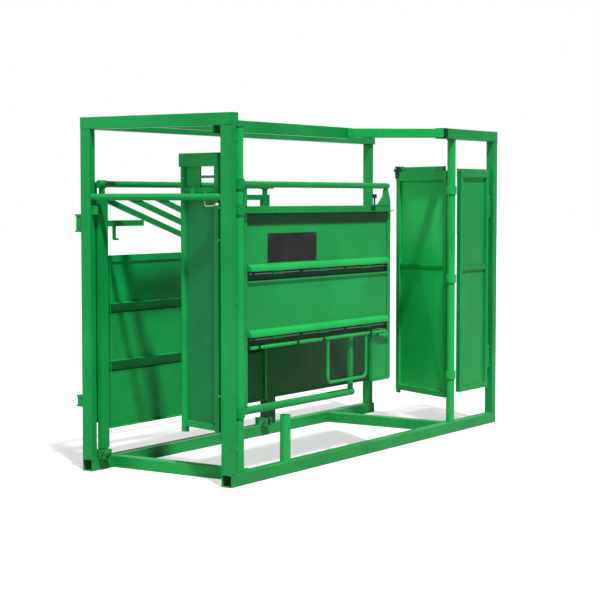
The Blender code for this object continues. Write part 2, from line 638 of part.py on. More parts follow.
def side_frame():
    deep = (SIDE_FRONT, SIDE_BACK)
    rail = (SIDE_TOP - SIDE_RAIL_TALL, SIDE_TOP)
    start, end = SIDE_START, SIDE_END

    ring, hole = collar(FRONT_PIPE_ALONG, SIDE_BAR_UP)
    bar_end = SIDE_END - 0.040
    pipe_face = FRONT_PIPE_ALONG + PIPE_RADIUS
    bar = rod_along((pipe_face + 0.003, bar_end), PIPE_INSET, SIDE_BAR_UP, SIDE_BAR_RADIUS)
    arm_top = SIDE_BAR_UP
    arm_low = SIDE_TOP + GAP
    arm = about(PIPE_INSET, SIDE_ARM / 2)
    front_arm = block((start + 0.006, start + 0.036), arm, (arm_low, arm_top))
    rear_arm = slab([(bar_end - 0.130, arm_low), (bar_end + 0.030, arm_low),
                     (bar_end + 0.030, arm_low + 0.030), (bar_end - 0.012, arm_top),
                     (bar_end - 0.034, arm_top), (bar_end - 0.060, arm_low + 0.060)], arm)
    make("side_top_bar", [ring, bar, front_arm, rear_arm], [hole], at=PIPE_AT)

    ring, hole = collar(FRONT_PIPE_ALONG, (rail[0] + rail[1]) / 2)
    tube = block((pipe_face + 0.004, end), deep, rail)
    inside = block((start + 0.01, end + 0.01), shrunk(deep, SIDE_WALL), shrunk(rail, SIDE_WALL))
    lip = block((start, end), (DROP_SHEET_ACROSS - LIP_OUT, SIDE_FRONT + SIDE_WALL),
                (rail[0], rail[0] + LIP_THICK))
    stop = stop_strip(UPPER_PANEL, rail[0])
    pin_across = DROP_SHEET_ACROSS - SHEET - PULL_OUT
    bracket = block(about(PULL_ALONG, 0.025), (pin_across - 0.014, SIDE_FRONT + 0.024),
                    (SIDE_TOP - 0.001, SIDE_TOP + PULL_BRACKET))
    pin_hole = rod_up(PULL_ALONG, pin_across, past((rail[0], SIDE_TOP + PULL_BRACKET)),
                      PULL_RADIUS + PIN_CLEAR)
    make("side_top_rail", [ring, tube, lip, stop, bracket], [hole, inside, pin_hole], at=PIPE_AT)

    under = rail[0] - GAP
    low = LOWER_TUBE_UP + LOWER_TUBE_RADIUS + GAP
    square_tube_on_side("side_front_upright", (start, start + SIDE_UPRIGHT), deep, (low, under))
    square_tube_on_side("side_rear_upright", (end - SIDE_UPRIGHT, end), deep, (SIDE_REAR_BOTTOM, under))

    ring, hole = collar(FRONT_PIPE_ALONG, LOWER_TUBE_UP)
    tube = rod_along((pipe_face + 0.003, LOWER_TUBE_END), SIDE_MIDDLE, LOWER_TUBE_UP, LOWER_TUBE_RADIUS)
    upright = block((LOWER_TUBE_END - 0.040, LOWER_TUBE_END - 0.002), about(SIDE_MIDDLE, 0.010),
                    (LOWER_TUBE_UP, drop_rail(MIDDLE_PANEL)[0] - GAP))
    make("side_lower_tube", [ring, tube, upright], [hole], at=PIPE_AT, color=DARK_GREEN)


def stop_strip(panel, rail_low):
    """The strip under a rail that a closed drop panel rests against."""
    back = DROP_SHEET_ACROSS + STOP_IN
    along = (SIDE_START + SIDE_UPRIGHT + 0.002, SIDE_END - SIDE_UPRIGHT - 0.002)
    return block(along, (back, back + 0.006), (panel[1] - STOP_LAP, rail_low + SIDE_WALL))


def square_tube_on_side(name, along, across, up):
    outer, inner = hollow(along, across, up, 2, SIDE_WALL)
    make(name, [outer], [inner], at=PIPE_AT)


def shrunk(limits, wall):
    return limits[0] + wall, limits[1] - wall


def drop_rail(panel):
    """Lower and upper limits of the rail that a drop panel hinges on."""
    axis = panel[0] - DROP_FLANGE_UP
    return axis - 0.034, axis - 0.006


def lug_places():
    first = SIDE_START + SIDE_UPRIGHT + 0.040
    last = SIDE_END - SIDE_UPRIGHT - 0.040
    return [first + (last - first) * i / (DROP_LUGS - 1) for i in range(DROP_LUGS)]


def drop_hinges():
    """The hinge rails on the side's frame, with their lugs, and the rods through them."""
    along = (SIDE_START + SIDE_UPRIGHT + GAP, SIDE_END - SIDE_UPRIGHT - GAP)
    for name, panel in (("upper", UPPER_PANEL), ("middle", MIDDLE_PANEL)):
        axis = panel[0] - DROP_FLANGE_UP
        low, high = drop_rail(panel)
        solids = [block(along, (SIDE_FRONT + 0.010, SIDE_BACK), (low, high))]
        cuts = []
        for place in lug_places():
            span = about(place, DROP_LUG_WIDE / 2)
            solids.append(rod_along((span[0], span[1]), DROP_AXIS_ACROSS, axis, DROP_BARREL_RADIUS))
            solids.append(block((span[0] + 0.001, span[1] - 0.001), (DROP_AXIS_ACROSS, SIDE_FRONT + 0.020),
                                (axis - 0.0095, axis - 0.002)))
            cuts.append(rod_along(past(span), DROP_AXIS_ACROSS, axis, DROP_ROD_RADIUS + PIN_CLEAR))
        if name == "upper":
            solids.append(stop_strip(MIDDLE_PANEL, low))
        else:
            for place in LATCH_BRACKETS:
                eye, eye_hole = latch_eye(place, low)
                solids += eye
                cuts.append(eye_hole)
        make(name + "_hinge_rail", solids, cuts, at=PIPE_AT)
        ends = (along[0] + 0.004, along[1] - 0.004)
        make(name + "_hinge_rod", [rod_along(ends, DROP_AXIS_ACROSS, axis, DROP_ROD_RADIUS, 12)],
             color=STEEL, at=PIPE_AT, metallic=1.0)


def latch_eye(place, rail_low):
    """An eye below the middle hinge rail that the latch rod turns in."""
    span = about(place, 0.008)
    ring = rod_along((span[0], span[1]), LATCH_ACROSS, LATCH_UP, LATCH_RADIUS + 0.0065)
    strap = shrunk(span, 0.001)
    arm = block(strap, (LATCH_ACROSS + 0.013, SIDE_FRONT + 0.016), about(LATCH_UP, 0.006))
    rise = block(strap, (SIDE_FRONT + 0.011, SIDE_FRONT + 0.017), (LATCH_UP - 0.006, rail_low + 0.004))
    hole = rod_along(past(span), LATCH_ACROSS, LATCH_UP, LATCH_RADIUS + PIN_CLEAR)
    return [ring, arm, rise], hole


def drop_panels():
    """The two panels that fold down and outwards about their lower edge."""
    along = (SIDE_START + SIDE_UPRIGHT + 0.003, SIDE_END - SIDE_UPRIGHT - 0.003)
    sheet = (DROP_SHEET_ACROSS - SHEET, DROP_SHEET_ACROSS)
    for name, panel in (("upper", UPPER_PANEL), ("middle", MIDDLE_PANEL)):
        axis = panel[0] - DROP_FLANGE_UP
        solids = [block(along, sheet, (panel[0] + 0.001, panel[1])),
                  block(along, (DROP_SHEET_ACROSS - LIP_OUT, DROP_SHEET_ACROSS - 0.001),
                        (panel[0], panel[0] + LIP_THICK)),
                  block(along, (DROP_SHEET_ACROSS - 0.014, DROP_SHEET_ACROSS - 0.001),
                        (panel[1] - 0.010, panel[1] + 0.001))]
        cuts = []
        places = lug_places()
        for before, after in zip(places, places[1:]):
            middle = (before + after) / 2
            span = about(middle, 0.060)
            solids.append(rod_along((span[0], span[1]), DROP_AXIS_ACROSS, axis, DROP_BARREL_RADIUS))
            solids.append(block((span[0] + 0.002, span[1] - 0.002), about(DROP_AXIS_ACROSS, 0.004),
                                (axis + 0.006, panel[0] + 0.002)))
            cuts.append(rod_along(past(span), DROP_AXIS_ACROSS, axis, DROP_ROD_RADIUS + PIN_CLEAR))
        make(name + "_drop_panel", solids, cuts, at=(FRONT_PIPE_ALONG, DROP_AXIS_ACROSS, axis))
    make("label_plate",
         [block(LABEL_ALONG, (sheet[0] - 0.0022, sheet[0] - GAP), LABEL_UP)], color=LABEL_GREY,
         at=(FRONT_PIPE_ALONG, DROP_AXIS_ACROSS, UPPER_PANEL[0] - DROP_FLANGE_UP))


def kick_plate():
    """The fixed plate at the rear foot of the side, with a lip along its lower edge."""
    sheet = (DROP_SHEET_ACROSS - SHEET, DROP_SHEET_ACROSS)
    along = (KICK_START, SIDE_END - SIDE_UPRIGHT - GAP)
    top = drop_rail(MIDDLE_PANEL)[0] - GAP
    back = DROP_SHEET_ACROSS - 0.001
    low = SIDE_REAR_BOTTOM
    make("kick_plate",
         [block(along, sheet, (low, top)),
          block(along, (DROP_SHEET_ACROSS - 0.024, back), (low - 0.001, low + LIP_THICK)),
          block((along[0] - 0.001, along[0] + 0.005), (DROP_SHEET_ACROSS - 0.020, back),
                (low + 0.003, top - 0.03))],
         at=PIPE_AT)


def latch():
    """The latch rod with its rear crank, and the loop handle that turns it."""
    at = (FRONT_PIPE_ALONG, LATCH_ACROSS, LATCH_UP)
    make("latch_rod",
         [rod_along((LATCH_ALONG[0], LATCH_ALONG[1]), LATCH_ACROSS, LATCH_UP, LATCH_RADIUS),
          slab([(1.700, LATCH_UP), (1.716, LATCH_UP - 0.030), (LATCH_ALONG[1] + 0.050, LATCH_UP - 0.034),
                (LATCH_ALONG[1] + 0.050, LATCH_UP - 0.018), (LATCH_ALONG[1] - 0.004, LATCH_UP)],
               about(LATCH_ACROSS, 0.005))],
         at=at, color=DARK_GREEN)
    top = LATCH_UP - LATCH_RADIUS - GAP
    first, last = LOOP_ALONG
    corner_a = (first, LATCH_ACROSS, LOOP_BOTTOM)
    corner_b = (last, LATCH_ACROSS, LOOP_BOTTOM)
    points = [Vector((first, LATCH_ACROSS, top))]
    points += bend(corner_a, (first, LATCH_ACROSS, top), corner_b, 0.040)
    points += bend(corner_b, corner_a, (last, LATCH_ACROSS, top), 0.040)
    points.append(Vector((last, LATCH_ACROSS, top)))
    make("loop_handle", [swept_rod(points, LOOP_RADIUS)], at=at, color=BRIGHT_GREEN)


def pull_pin():
    """A pull pin through the top rail's bracket and lip; it drops to hold the upper panel shut."""
    across = DROP_SHEET_ACROSS - SHEET - PULL_OUT
    bracket_top = SIDE_TOP + PULL_BRACKET
    knob = bracket_top + PULL_TRAVEL + 0.006
    make("pull_pin",
         [rod_up(PULL_ALONG, across, (UPPER_PANEL[1] + 0.004, knob + 0.010), PULL_RADIUS),
          rod_up(PULL_ALONG, across, (knob, knob + 0.026), PULL_KNOB_RADIUS)],
         at=(PULL_ALONG, across, bracket_top), color=BLACK)


# ------------------------------------------------------------------ squeeze side (far)

def squeeze_side():
    outer = FAR_INNER + FAR_UPRIGHT
    at = (FAR_START, FAR_AXIS_ACROSS, FAR_AXIS_UP)
    middle = FAR_INNER + FAR_BAR_RADIUS
    spans = {"front": about(FAR_HINGES[0], FAR_UPRIGHT_LONG / 2),
             "rear": about(FAR_HINGES[1], FAR_UPRIGHT_LONG / 2)}
    for name, span in spans.items():
        centre = (span[0] + span[1]) / 2
        foot = about(centre, FAR_FOOT_LONG / 2)
        upright = block(span, (FAR_INNER, outer), (FAR_AXIS_UP + 0.030, FAR_RAIL[1]))
        barrel = rod_along((foot[0], foot[1]), FAR_AXIS_ACROSS, FAR_AXIS_UP, 0.019)
        web = block(foot, (FAR_AXIS_ACROSS - 0.001, FAR_AXIS_ACROSS + 0.016),
                    (FAR_AXIS_UP, FAR_AXIS_UP + 0.034))
        ear = block((span[0] + 0.020, span[1] - 0.020), (FAR_INNER + 0.006, outer - 0.006),
                    (FAR_RAIL[1] - 0.002, FAR_BAR_UP))
        eye = rod_along((span[0] + 0.002, span[1] - 0.002), middle, FAR_BAR_UP, FAR_BAR_RADIUS + 0.005)
        hole = rod_along(past(span), FAR_AXIS_ACROSS, FAR_AXIS_UP, PIN_RADIUS + PIN_CLEAR)
        bore = rod_along(past(span), middle, FAR_BAR_UP, FAR_BAR_RADIUS + GAP)
        make("squeeze_upright_" + name, [upright, barrel, web, ear, eye], [hole, bore], at=at)
        reach = FAR_FOOT_LONG / 2 + LUG_THICK + 0.010
        make("squeeze_pin_" + name,
             [rod_along(about(centre, reach), FAR_AXIS_ACROSS, FAR_AXIS_UP, PIN_RADIUS)],
             color=STEEL, metallic=1.0)
    between = (spans["front"][1] + GAP, spans["rear"][0] - GAP)
    make("squeeze_round_bar",
         [rod((spans["front"][0], middle, FAR_BAR_UP), (spans["rear"][1] + 0.060, middle, FAR_BAR_UP),
              FAR_BAR_RADIUS)], at=at)
    make("squeeze_top_rail", [block(between, (FAR_INNER + 0.002, outer - 0.002), FAR_RAIL)], at=at)
    squeeze_braces(between, at)
    squeeze_panels(between, at)


def squeeze_braces(between, at):
    """Three slanted flat bars from the top rail down to the upper panel, trimmed at the uprights."""
    across = (FAR_INNER + 0.008, FAR_INNER + 0.026)
    fall = tan(radians(FAR_BRACE_SLOPE))
    wide = FAR_BRACE_WIDE / sin(radians(FAR_BRACE_SLOPE))
    top = FAR_RAIL[0] - GAP
    foot = FAR_PANELS[2][1] + GAP
    for index in range(3):
        start = FAR_BRACE_FIRST + index * FAR_BRACE_STEP
        end = start + (top - foot) / fall
        trims = [block((between[1], between[1] + LENGTH), (0.0, WIDTH), (foot - 0.1, top + 0.1)),
                 block((between[0] - LENGTH, between[0]), (0.0, WIDTH), (foot - 0.1, top + 0.1))]
        make("squeeze_brace_%d" % (index + 1),
             [slab([(start, top), (start + wide, top), (end + wide, foot), (end, foot)], across)],
             trims, at=at)


def squeeze_panels(between, at):
    """Three flanged sheets between the uprights."""
    inner = FAR_INNER + 0.010
    next_low = (FAR_PANELS[1][0], FAR_PANELS[2][0], None)
    for name, (low, high), limit in zip(("lower", "middle", "upper"), FAR_PANELS, next_low):
        solids = [block(between, (inner, inner + SHEET), (low, high)),
                  block(between, (inner - 0.026, inner + SHEET - 0.001), (low - 0.001, low + 0.006))]
        if name == "upper":
            solids.append(block(between, (inner - 0.008, inner + 0.024), (high - 0.042, high)))
        else:
            back = inner + FAR_RECESS
            solids.append(block(between, (inner - 0.002, back + 0.001), (high - 0.006, high + 0.001)))
            solids.append(block(between, (back, back + SHEET), (high - 0.004, limit - 0.002)))
        make("squeeze_panel_" + name, solids, at=at)
    hook_low = FAR_MID_BAR[0] - 0.078
    start = between[0]
    meet = FAR_BRACE_FIRST + (FAR_RAIL[0] - FAR_MID_BAR[1]) / tan(radians(FAR_BRACE_SLOPE)) - 0.004
    make("squeeze_level_bar",
         [block((start, meet), (FAR_INNER + 0.008, FAR_INNER + 0.026), FAR_MID_BAR),
          block((start + 0.062, start + 0.088), (FAR_INNER + 0.010, FAR_INNER + 0.020),
                (hook_low, FAR_MID_BAR[0] + 0.004)),
          block((start + 0.062, start + 0.100), (FAR_INNER - 0.004, FAR_INNER + 0.018),
                (hook_low - 0.010, hook_low + 0.004))], at=at)


def far_rear_panel():
    """The fixed sheet on the far side, from behind the squeeze side to the rear post."""
    low, high = FAR_PANELS[0][0], FAR_PANELS[2][1]
    face = INNER_FAR + FAR_REAR_SHEET_IN
    start = FAR_REAR_START
    end = REAR_POST_ALONG - GAP
    make("far_rear_panel",
         [block((start, start + FAR_REAR_UPRIGHT), (INNER_FAR + GAP, WIDTH - 0.020),
                (TUBE + GAP, high + 0.004)),
          block((start + 0.01, end), (face, face + SHEET), (low, high)),
          block((start + 0.01, end), (face - 0.016, face + SHEET - 0.001), (low - 0.001, low + LIP_THICK)),
          block((start + 0.01, end), (face - 0.016, face + 0.016), (high - 0.030, high + 0.003))])


# ------------------------------------------------------------------ build

for old in list(bpy.data.objects):
    bpy.data.objects.remove(old)

base_frame()
posts()
pipe_posts()
top_frame()
front_details()
head_hinges()
head_door()
head_lever()
tail_door()
rear_gate()
side_frame()
drop_hinges()
drop_panels()
kick_plate()
latch()
pull_pin()
squeeze_side()
far_rear_panel()
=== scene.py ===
# %% [markdown]
# # A cattle squeeze chute in green enamel
#
# The chute is a welded tube frame with a head door, a tail door, a side that swings out and
# a side that leans in.  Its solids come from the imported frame, already in place and at real
# size in metres.  This script gives every one a finish, adds what a welder and a fitter
# leave behind (beads, washers, split pins, nuts, a hook wire) and sets up plain studio light.

# %% Load the frame
from math import cos, radians, sin, tau

import bmesh
import bpy
from mathutils import Matrix, Vector
from mathutils import noise as smooth_noise


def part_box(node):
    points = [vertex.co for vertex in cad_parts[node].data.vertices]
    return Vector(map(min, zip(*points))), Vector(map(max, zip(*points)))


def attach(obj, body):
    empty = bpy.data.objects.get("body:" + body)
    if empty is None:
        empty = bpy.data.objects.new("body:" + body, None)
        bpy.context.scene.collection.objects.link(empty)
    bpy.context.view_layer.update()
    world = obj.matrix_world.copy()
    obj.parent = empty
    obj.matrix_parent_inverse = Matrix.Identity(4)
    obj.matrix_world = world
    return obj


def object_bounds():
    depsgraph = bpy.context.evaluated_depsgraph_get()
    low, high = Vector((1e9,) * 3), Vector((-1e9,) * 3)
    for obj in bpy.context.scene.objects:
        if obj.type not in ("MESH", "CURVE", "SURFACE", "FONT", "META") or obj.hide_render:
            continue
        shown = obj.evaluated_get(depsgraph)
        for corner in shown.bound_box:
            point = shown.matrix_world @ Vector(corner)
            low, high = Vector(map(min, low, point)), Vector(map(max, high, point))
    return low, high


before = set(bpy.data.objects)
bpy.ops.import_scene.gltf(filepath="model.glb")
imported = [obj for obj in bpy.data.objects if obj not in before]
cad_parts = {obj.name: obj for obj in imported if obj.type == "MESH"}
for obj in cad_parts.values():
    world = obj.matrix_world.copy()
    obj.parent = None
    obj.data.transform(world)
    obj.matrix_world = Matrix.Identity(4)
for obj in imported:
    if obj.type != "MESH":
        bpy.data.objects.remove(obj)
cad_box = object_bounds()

low, high = cad_box
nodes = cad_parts
print("the chute is %.2f long, %.2f wide and %.2f m high" % tuple(high - low))

# %% [markdown]
# ## The camera
#
# A chute is long, so it is seen from a way off, over its front corner and from about eye
# level.  A long lens from far away keeps the posts nearly upright on the picture; a short
# lens up close would make the near corner loom.  The camera looks slightly down and needs
# no shift.

# %% Camera
CAMERA_PLACE = Vector((-9.435, -6.175, 1.6985))
CAMERA_HEADING = 33.42       # degrees from +X towards +Y
CAMERA_DOWN = 3.55           # degrees below level
LENS_MM, SENSOR_MM = 98.1, 36.0

camera_data = bpy.data.cameras.new("camera")
camera_data.lens, camera_data.sensor_width = LENS_MM, SENSOR_MM
camera = bpy.data.objects.new("camera", camera_data)
bpy.context.scene.collection.objects.link(camera)
heading, down = radians(CAMERA_HEADING), radians(CAMERA_DOWN)
gaze = Vector((cos(heading) * cos(down), sin(heading) * cos(down), -sin(down)))
camera.location = CAMERA_PLACE
camera.rotation_mode = "QUATERNION"
camera.rotation_quaternion = gaze.to_track_quat("-Z", "Y")
bpy.context.scene.camera = camera
print("the camera stands %.1f m from the chute's middle" % (CAMERA_PLACE - (low + high) / 2).length)

# %% [markdown]
# ## Light
#
# Enamel shows its shape by the contrast between lit and shaded faces.  The key is a sun lamp,
# which lights the whole floor evenly, as a nearby area lamp would not.  It stands high, so
# that a lip of 30 mm shades the 70 mm of sheet below it.  A second, very wide lamp from the
# front and the far side lifts the doors, which face away from the key.  The world fills
# the rest.

# %% Lamps and world
KEY_FROM, KEY_WIDTH, KEY_LEVEL = Vector((-0.36, -0.50, 1.15)), 4.0, 4.5     # width in degrees
FILL_FROM, FILL_WIDTH, FILL_LEVEL = Vector((-0.80, 0.55, 0.30)), 70.0, 1.1
WORLD_LEVEL = 0.20


def sun_lamp(name, comes_from, width, level):
    data = bpy.data.lights.new(name, "SUN")
    data.energy, data.angle = level, radians(width)
    lamp = bpy.data.objects.new(name, data)
    lamp.rotation_mode = "QUATERNION"
    lamp.rotation_quaternion = (-comes_from).to_track_quat("-Z", "Y")
    bpy.context.scene.collection.objects.link(lamp)


sun_lamp("key", KEY_FROM, KEY_WIDTH, KEY_LEVEL)
sun_lamp("fill", FILL_FROM, FILL_WIDTH, FILL_LEVEL)

world = bpy.data.worlds.new("studio")
world.use_nodes = True
bpy.context.scene.world = world
bpy.context.scene.view_settings.view_transform = "Standard"
print("the key stands %.0f degrees up" % (90 - KEY_FROM.angle(Vector((0, 0, 1))) * 360 / tau))

# %% [markdown]
# ## Shader sums as Python
#
# A node tree for paint is mostly arithmetic on masks.  Wrapping a socket in a small class
# lets that arithmetic be written as it would be on paper, and the class adds the Math nodes.
# Every node comes from one function, which sets its settings before its sockets, because
# some settings change which sockets a node has.

# %% One way to add a node
def feed(tree, slot, value):
    """Link a wire to a socket, or set a plain value on it."""
    if isinstance(value, Wire):
        tree.links.new(value.socket, slot)
    elif isinstance(value, (tuple, list)) and len(value) == 3 and len(slot.default_value) == 4:
        slot.default_value = (*value, 1.0)
    else:
        slot.default_value = value


def add_node(tree, kind, settings=(), sockets=(), output=0):
    """A node of that kind; its sockets and its output go by name or by number."""
    made = tree.nodes.new(kind)
    for name, value in dict(settings).items():
        setattr(made, name, value)
    for name, value in dict(sockets).items():
        feed(tree, made.inputs[name], value)
    return Wire(tree, made.outputs[output])


print("nodes are added in one way")

# %% The Wire class
class Wire:
    """A socket that can be added, subtracted and multiplied, in a material's node tree."""

    def __init__(self, tree, socket):
        self.tree, self.socket = tree, socket

    def sums(self, operation, first, second, clamp=False):
        return add_node(self.tree, "ShaderNodeMath", {"operation": operation, "use_clamp": clamp},
                        {0: first, 1: second})

    def __add__(self, other):
        return self.sums("ADD", self, other)

    def __radd__(self, other):
        return self.sums("ADD", other, self)

    def __sub__(self, other):
        return self.sums("SUBTRACT", self, other)

    def __rsub__(self, other):
        return self.sums("SUBTRACT", other, self)

    def __mul__(self, other):
        return self.sums("MULTIPLY", self, other)

    def __rmul__(self, other):
        return self.sums("MULTIPLY", other, self)

    def clipped(self):
        """The same, kept between 0 and 1."""
        return self.sums("ADD", self, 0.0, clamp=True)

    def or_more(self, other):
        """The larger of the two."""
        return self.sums("MAXIMUM", self, other)

    def between(self, start, end):
        """0 below start, 1 above end, smooth in between."""
        return add_node(self.tree, "ShaderNodeMapRange", {"interpolation_type": "SMOOTHSTEP"},
                        {"Value": self, "From Min": start, "From Max": end, "To Min": 0.0, "To Max": 1.0})


print("wires can be added, subtracted and multiplied")

# %% The Finish class
MIX_FACTOR, MIX_FIRST, MIX_SECOND, MIX_RESULT = 0, 6, 7, 2     # a Mix node's colour sockets
BEVEL_SAMPLES = 4


class Finish:
    """A material under construction."""

    def __init__(self, name):
        self.material = bpy.data.materials.new(name)
        self.material.use_nodes = True
        self.tree = self.material.node_tree
        self.shader = self.tree.nodes["Principled BSDF"]

    def node(self, kind, settings=(), output=0, **sockets):
        """add_node in this material; a socket's name is written with _ for a space."""
        named = {name.replace("_", " "): value for name, value in sockets.items()}
        return add_node(self.tree, kind, settings, named, output)

    def place(self):
        return self.node("ShaderNodeTexCoord", output="Object")

    def world_place(self):
        return self.node("ShaderNodeNewGeometry", output="Position")

    def facing(self):
        return self.node("ShaderNodeNewGeometry", output="Normal")

    def noise(self, scale, detail=3.0, rough=0.5, where=None):
        return self.node("ShaderNodeTexNoise", Vector=where or self.place(), Scale=scale,
                         Detail=detail, Roughness=rough)

    def stretched(self, scale):
        return self.node("ShaderNodeMapping", Vector=self.place(), Scale=scale)

    def mix(self, factor, first, second):
        return add_node(self.tree, "ShaderNodeMix", {"data_type": "RGBA"},
                        {MIX_FACTOR: factor, MIX_FIRST: first, MIX_SECOND: second}, MIX_RESULT)

    def axis(self, vector, letter):
        return self.node("ShaderNodeSeparateXYZ", output=letter, Vector=vector)

    def bump(self, height):
        return self.node("ShaderNodeBump", Height=height, Distance=1.0, Strength=1.0)

    def edges(self, radius):
        """Above 0 where a rounded copy of the surface's normal departs from the real one."""
        soft = self.node("ShaderNodeBevel", {"samples": BEVEL_SAMPLES}, Radius=radius)
        return 1.0 - add_node(self.tree, "ShaderNodeVectorMath", {"operation": "DOT_PRODUCT"},
                              {0: soft, 1: self.facing()}, "Value")

    def finish(self, color, roughness, normal=None, metallic=0.0, **constants):
        feed(self.tree, self.shader.inputs["Base Color"], color)
        feed(self.tree, self.shader.inputs["Roughness"], roughness)
        feed(self.tree, self.shader.inputs["Metallic"], metallic)
        if normal:
            feed(self.tree, self.shader.inputs["Normal"], normal)
        for key, value in constants.items():
            self.shader.inputs[key.replace("_", " ")].default_value = value
        print("finish", self.material.name, "with", len(self.tree.nodes), "nodes")
        return self.material


print("shader helpers ready")

# %% [markdown]
# ## World and floor
#
# The camera sees a white world, while the chute is lit by a dimmer one; Light Path tells its
# rays apart.  Mirror rays see it at part strength, because a real studio is not white all
# round, and clear rays see it whole.  The floor does the same: a ray sees some pale light of
# its own, so it stays white to the horizon, and a share of plain matt floor keeps the shadow.

# %% World
MIRRORED = 0.28              # how much of the white a reflection shows
BLACK, WHITE = (0.0, 0.0, 0.0), (1.0, 1.0, 1.0)


def seen_white(tree):
    """1 for a ray that should see the white studio, less for a mirror ray, 0 for plain light."""
    direct = add_node(tree, "ShaderNodeLightPath", output="Is Camera Ray")
    rays = direct.socket.node.outputs
    clear, mirrored = Wire(tree, rays["Is Transmission Ray"]), Wire(tree, rays["Is Glossy Ray"])
    return direct.or_more(clear).or_more(mirrored * MIRRORED)


background = world.node_tree.nodes["Background"]
feed(world.node_tree, background.inputs["Color"], WHITE)
feed(world.node_tree, background.inputs["Strength"],
     seen_white(world.node_tree) * (1.0 - WORLD_LEVEL) + WORLD_LEVEL)
print("world level", WORLD_LEVEL)

# %% Floor
FLOOR_HALF, FLOOR_UNDER = 60.0, 0.001
FLOOR_SHINE = 0.58           # the share of white light of its own that the floor shows
FLOOR_CORNERS = ((-1, -1), (1, -1), (1, 1), (-1, 1))
floor_mesh = bpy.data.meshes.new("floor")
floor_mesh.from_pydata([(x * FLOOR_HALF, y * FLOOR_HALF, -FLOOR_UNDER) for x, y in FLOOR_CORNERS],
                       [], [(0, 1, 2, 3)])
floor = bpy.data.objects.new("floor", floor_mesh)
bpy.context.scene.collection.objects.link(floor)
pale = Finish("pale_floor")
cloudy = pale.noise(0.6, 2.0, where=pale.world_place())
feed(pale.tree, pale.shader.inputs["Emission Color"],
     pale.mix(seen_white(pale.tree) * FLOOR_SHINE, BLACK, WHITE))
floor_mesh.materials.append(pale.finish(pale.mix(cloudy, (0.46, 0.46, 0.455), (0.50, 0.50, 0.495)), 0.95,
                                        Emission_Strength=1.0, Specular_IOR_Level=0.0))
print("the floor is %.0f m across" % (2 * FLOOR_HALF))

# %% [markdown]
# ## Green enamel
#
# The frame was sprayed with gloss green enamel after welding.  Up close such paint is not
# one colour: it fades a little where the sun falls on it, gathers dust near the ground and
# has an orange-peel skin.  Corners lose their paint first, down to dark primer and a touch
# of rust.  The wear mask compares the surface's normal with that of a softly bevelled copy,
# so it finds corners on any solid, and noise breaks it up.  Three masks paint shade onto a
# few pieces: low in the alley, under the top rail's lip and at the near top rail's front end.
# Some greens are lighter or darker copies, which paint sunlight or shade onto whole pieces.

# %% Painted shade: low in the alley, under the lip and at the rail's end
ALLEY_SHADE_UP = (1.10, 1.40)                      # painted shade thins out between these heights
ALLEY_SHADE_START, ALLEY_SHADE_RUN = -0.35, 0.30         # it grows towards the tail from near the middle
BAND_FOOT, BAND_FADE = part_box("upper_drop_panel")[1].z - 0.078, 0.020
END_SHADE_TO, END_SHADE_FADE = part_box("top_rail_near")[0].x + 0.050, 0.012


def painted_alley_shade(paint, where):
    """Painted shade inside the alley: 1 behind the alley's middle and low down, except on the faces that
    look outwards.
    """
    ragged = (paint.noise(5.0, 4.0, 0.6) - 0.5) * 0.5
    inward = 1.0 - paint.axis(paint.facing(), "Y").between(0.3, 0.7)
    low_down = 1.0 - (paint.axis(where, "Z") + ragged).between(*ALLEY_SHADE_UP)
    rearward = (paint.axis(where, "X") + ragged).between(ALLEY_SHADE_START, ALLEY_SHADE_START + ALLEY_SHADE_RUN)
    return inward * low_down * rearward


def painted_lip_shadow(paint, where):
    """Painted shadow of the top rail's lip: 1 in the band of the upper drop panel that the lip overhangs."""
    height = paint.axis(where, "Z") + (paint.noise(9.0, 3.0, 0.6) - 0.5) * 0.012
    return height.between(BAND_FOOT, BAND_FOOT + BAND_FADE)


def painted_end_shade(paint, where):
    """Painted shade for the dark open end of the near top rail at the brace: 1 near the rail's front end."""
    along = paint.axis(where, "X") + paint.noise(24.0, 3.0, 0.6) * 0.006
    return 1.0 - along.between(END_SHADE_TO, END_SHADE_TO + END_SHADE_FADE)


# The first number is where the painted shade at the near top rail's end stops.
print("the scorch ends at x = %.3f and the shaded band starts at z = %.3f" % (END_SHADE_TO, BAND_FOOT))

# %% Enamel
# The third colour is the near black that painted shade darkens the enamel towards.
DUST, CHALK, PAINTED_SHADE_COLOR = (0.25, 0.20, 0.12), (0.24, 0.46, 0.22), (0.006, 0.010, 0.005)
PRIMER, RUST = (0.035, 0.055, 0.03), (0.16, 0.065, 0.025)
DUST_UP = (0.02, 0.42)                       # dust thins out between these heights
CHIP_WIDTH = 0.0045
RUN_STRETCH = (34.0, 34.0, 1.3)              # runs are narrow and long
RUN_SHADE = (0.5, 0.62, 0.6)                 # how much of the deep colour a run keeps


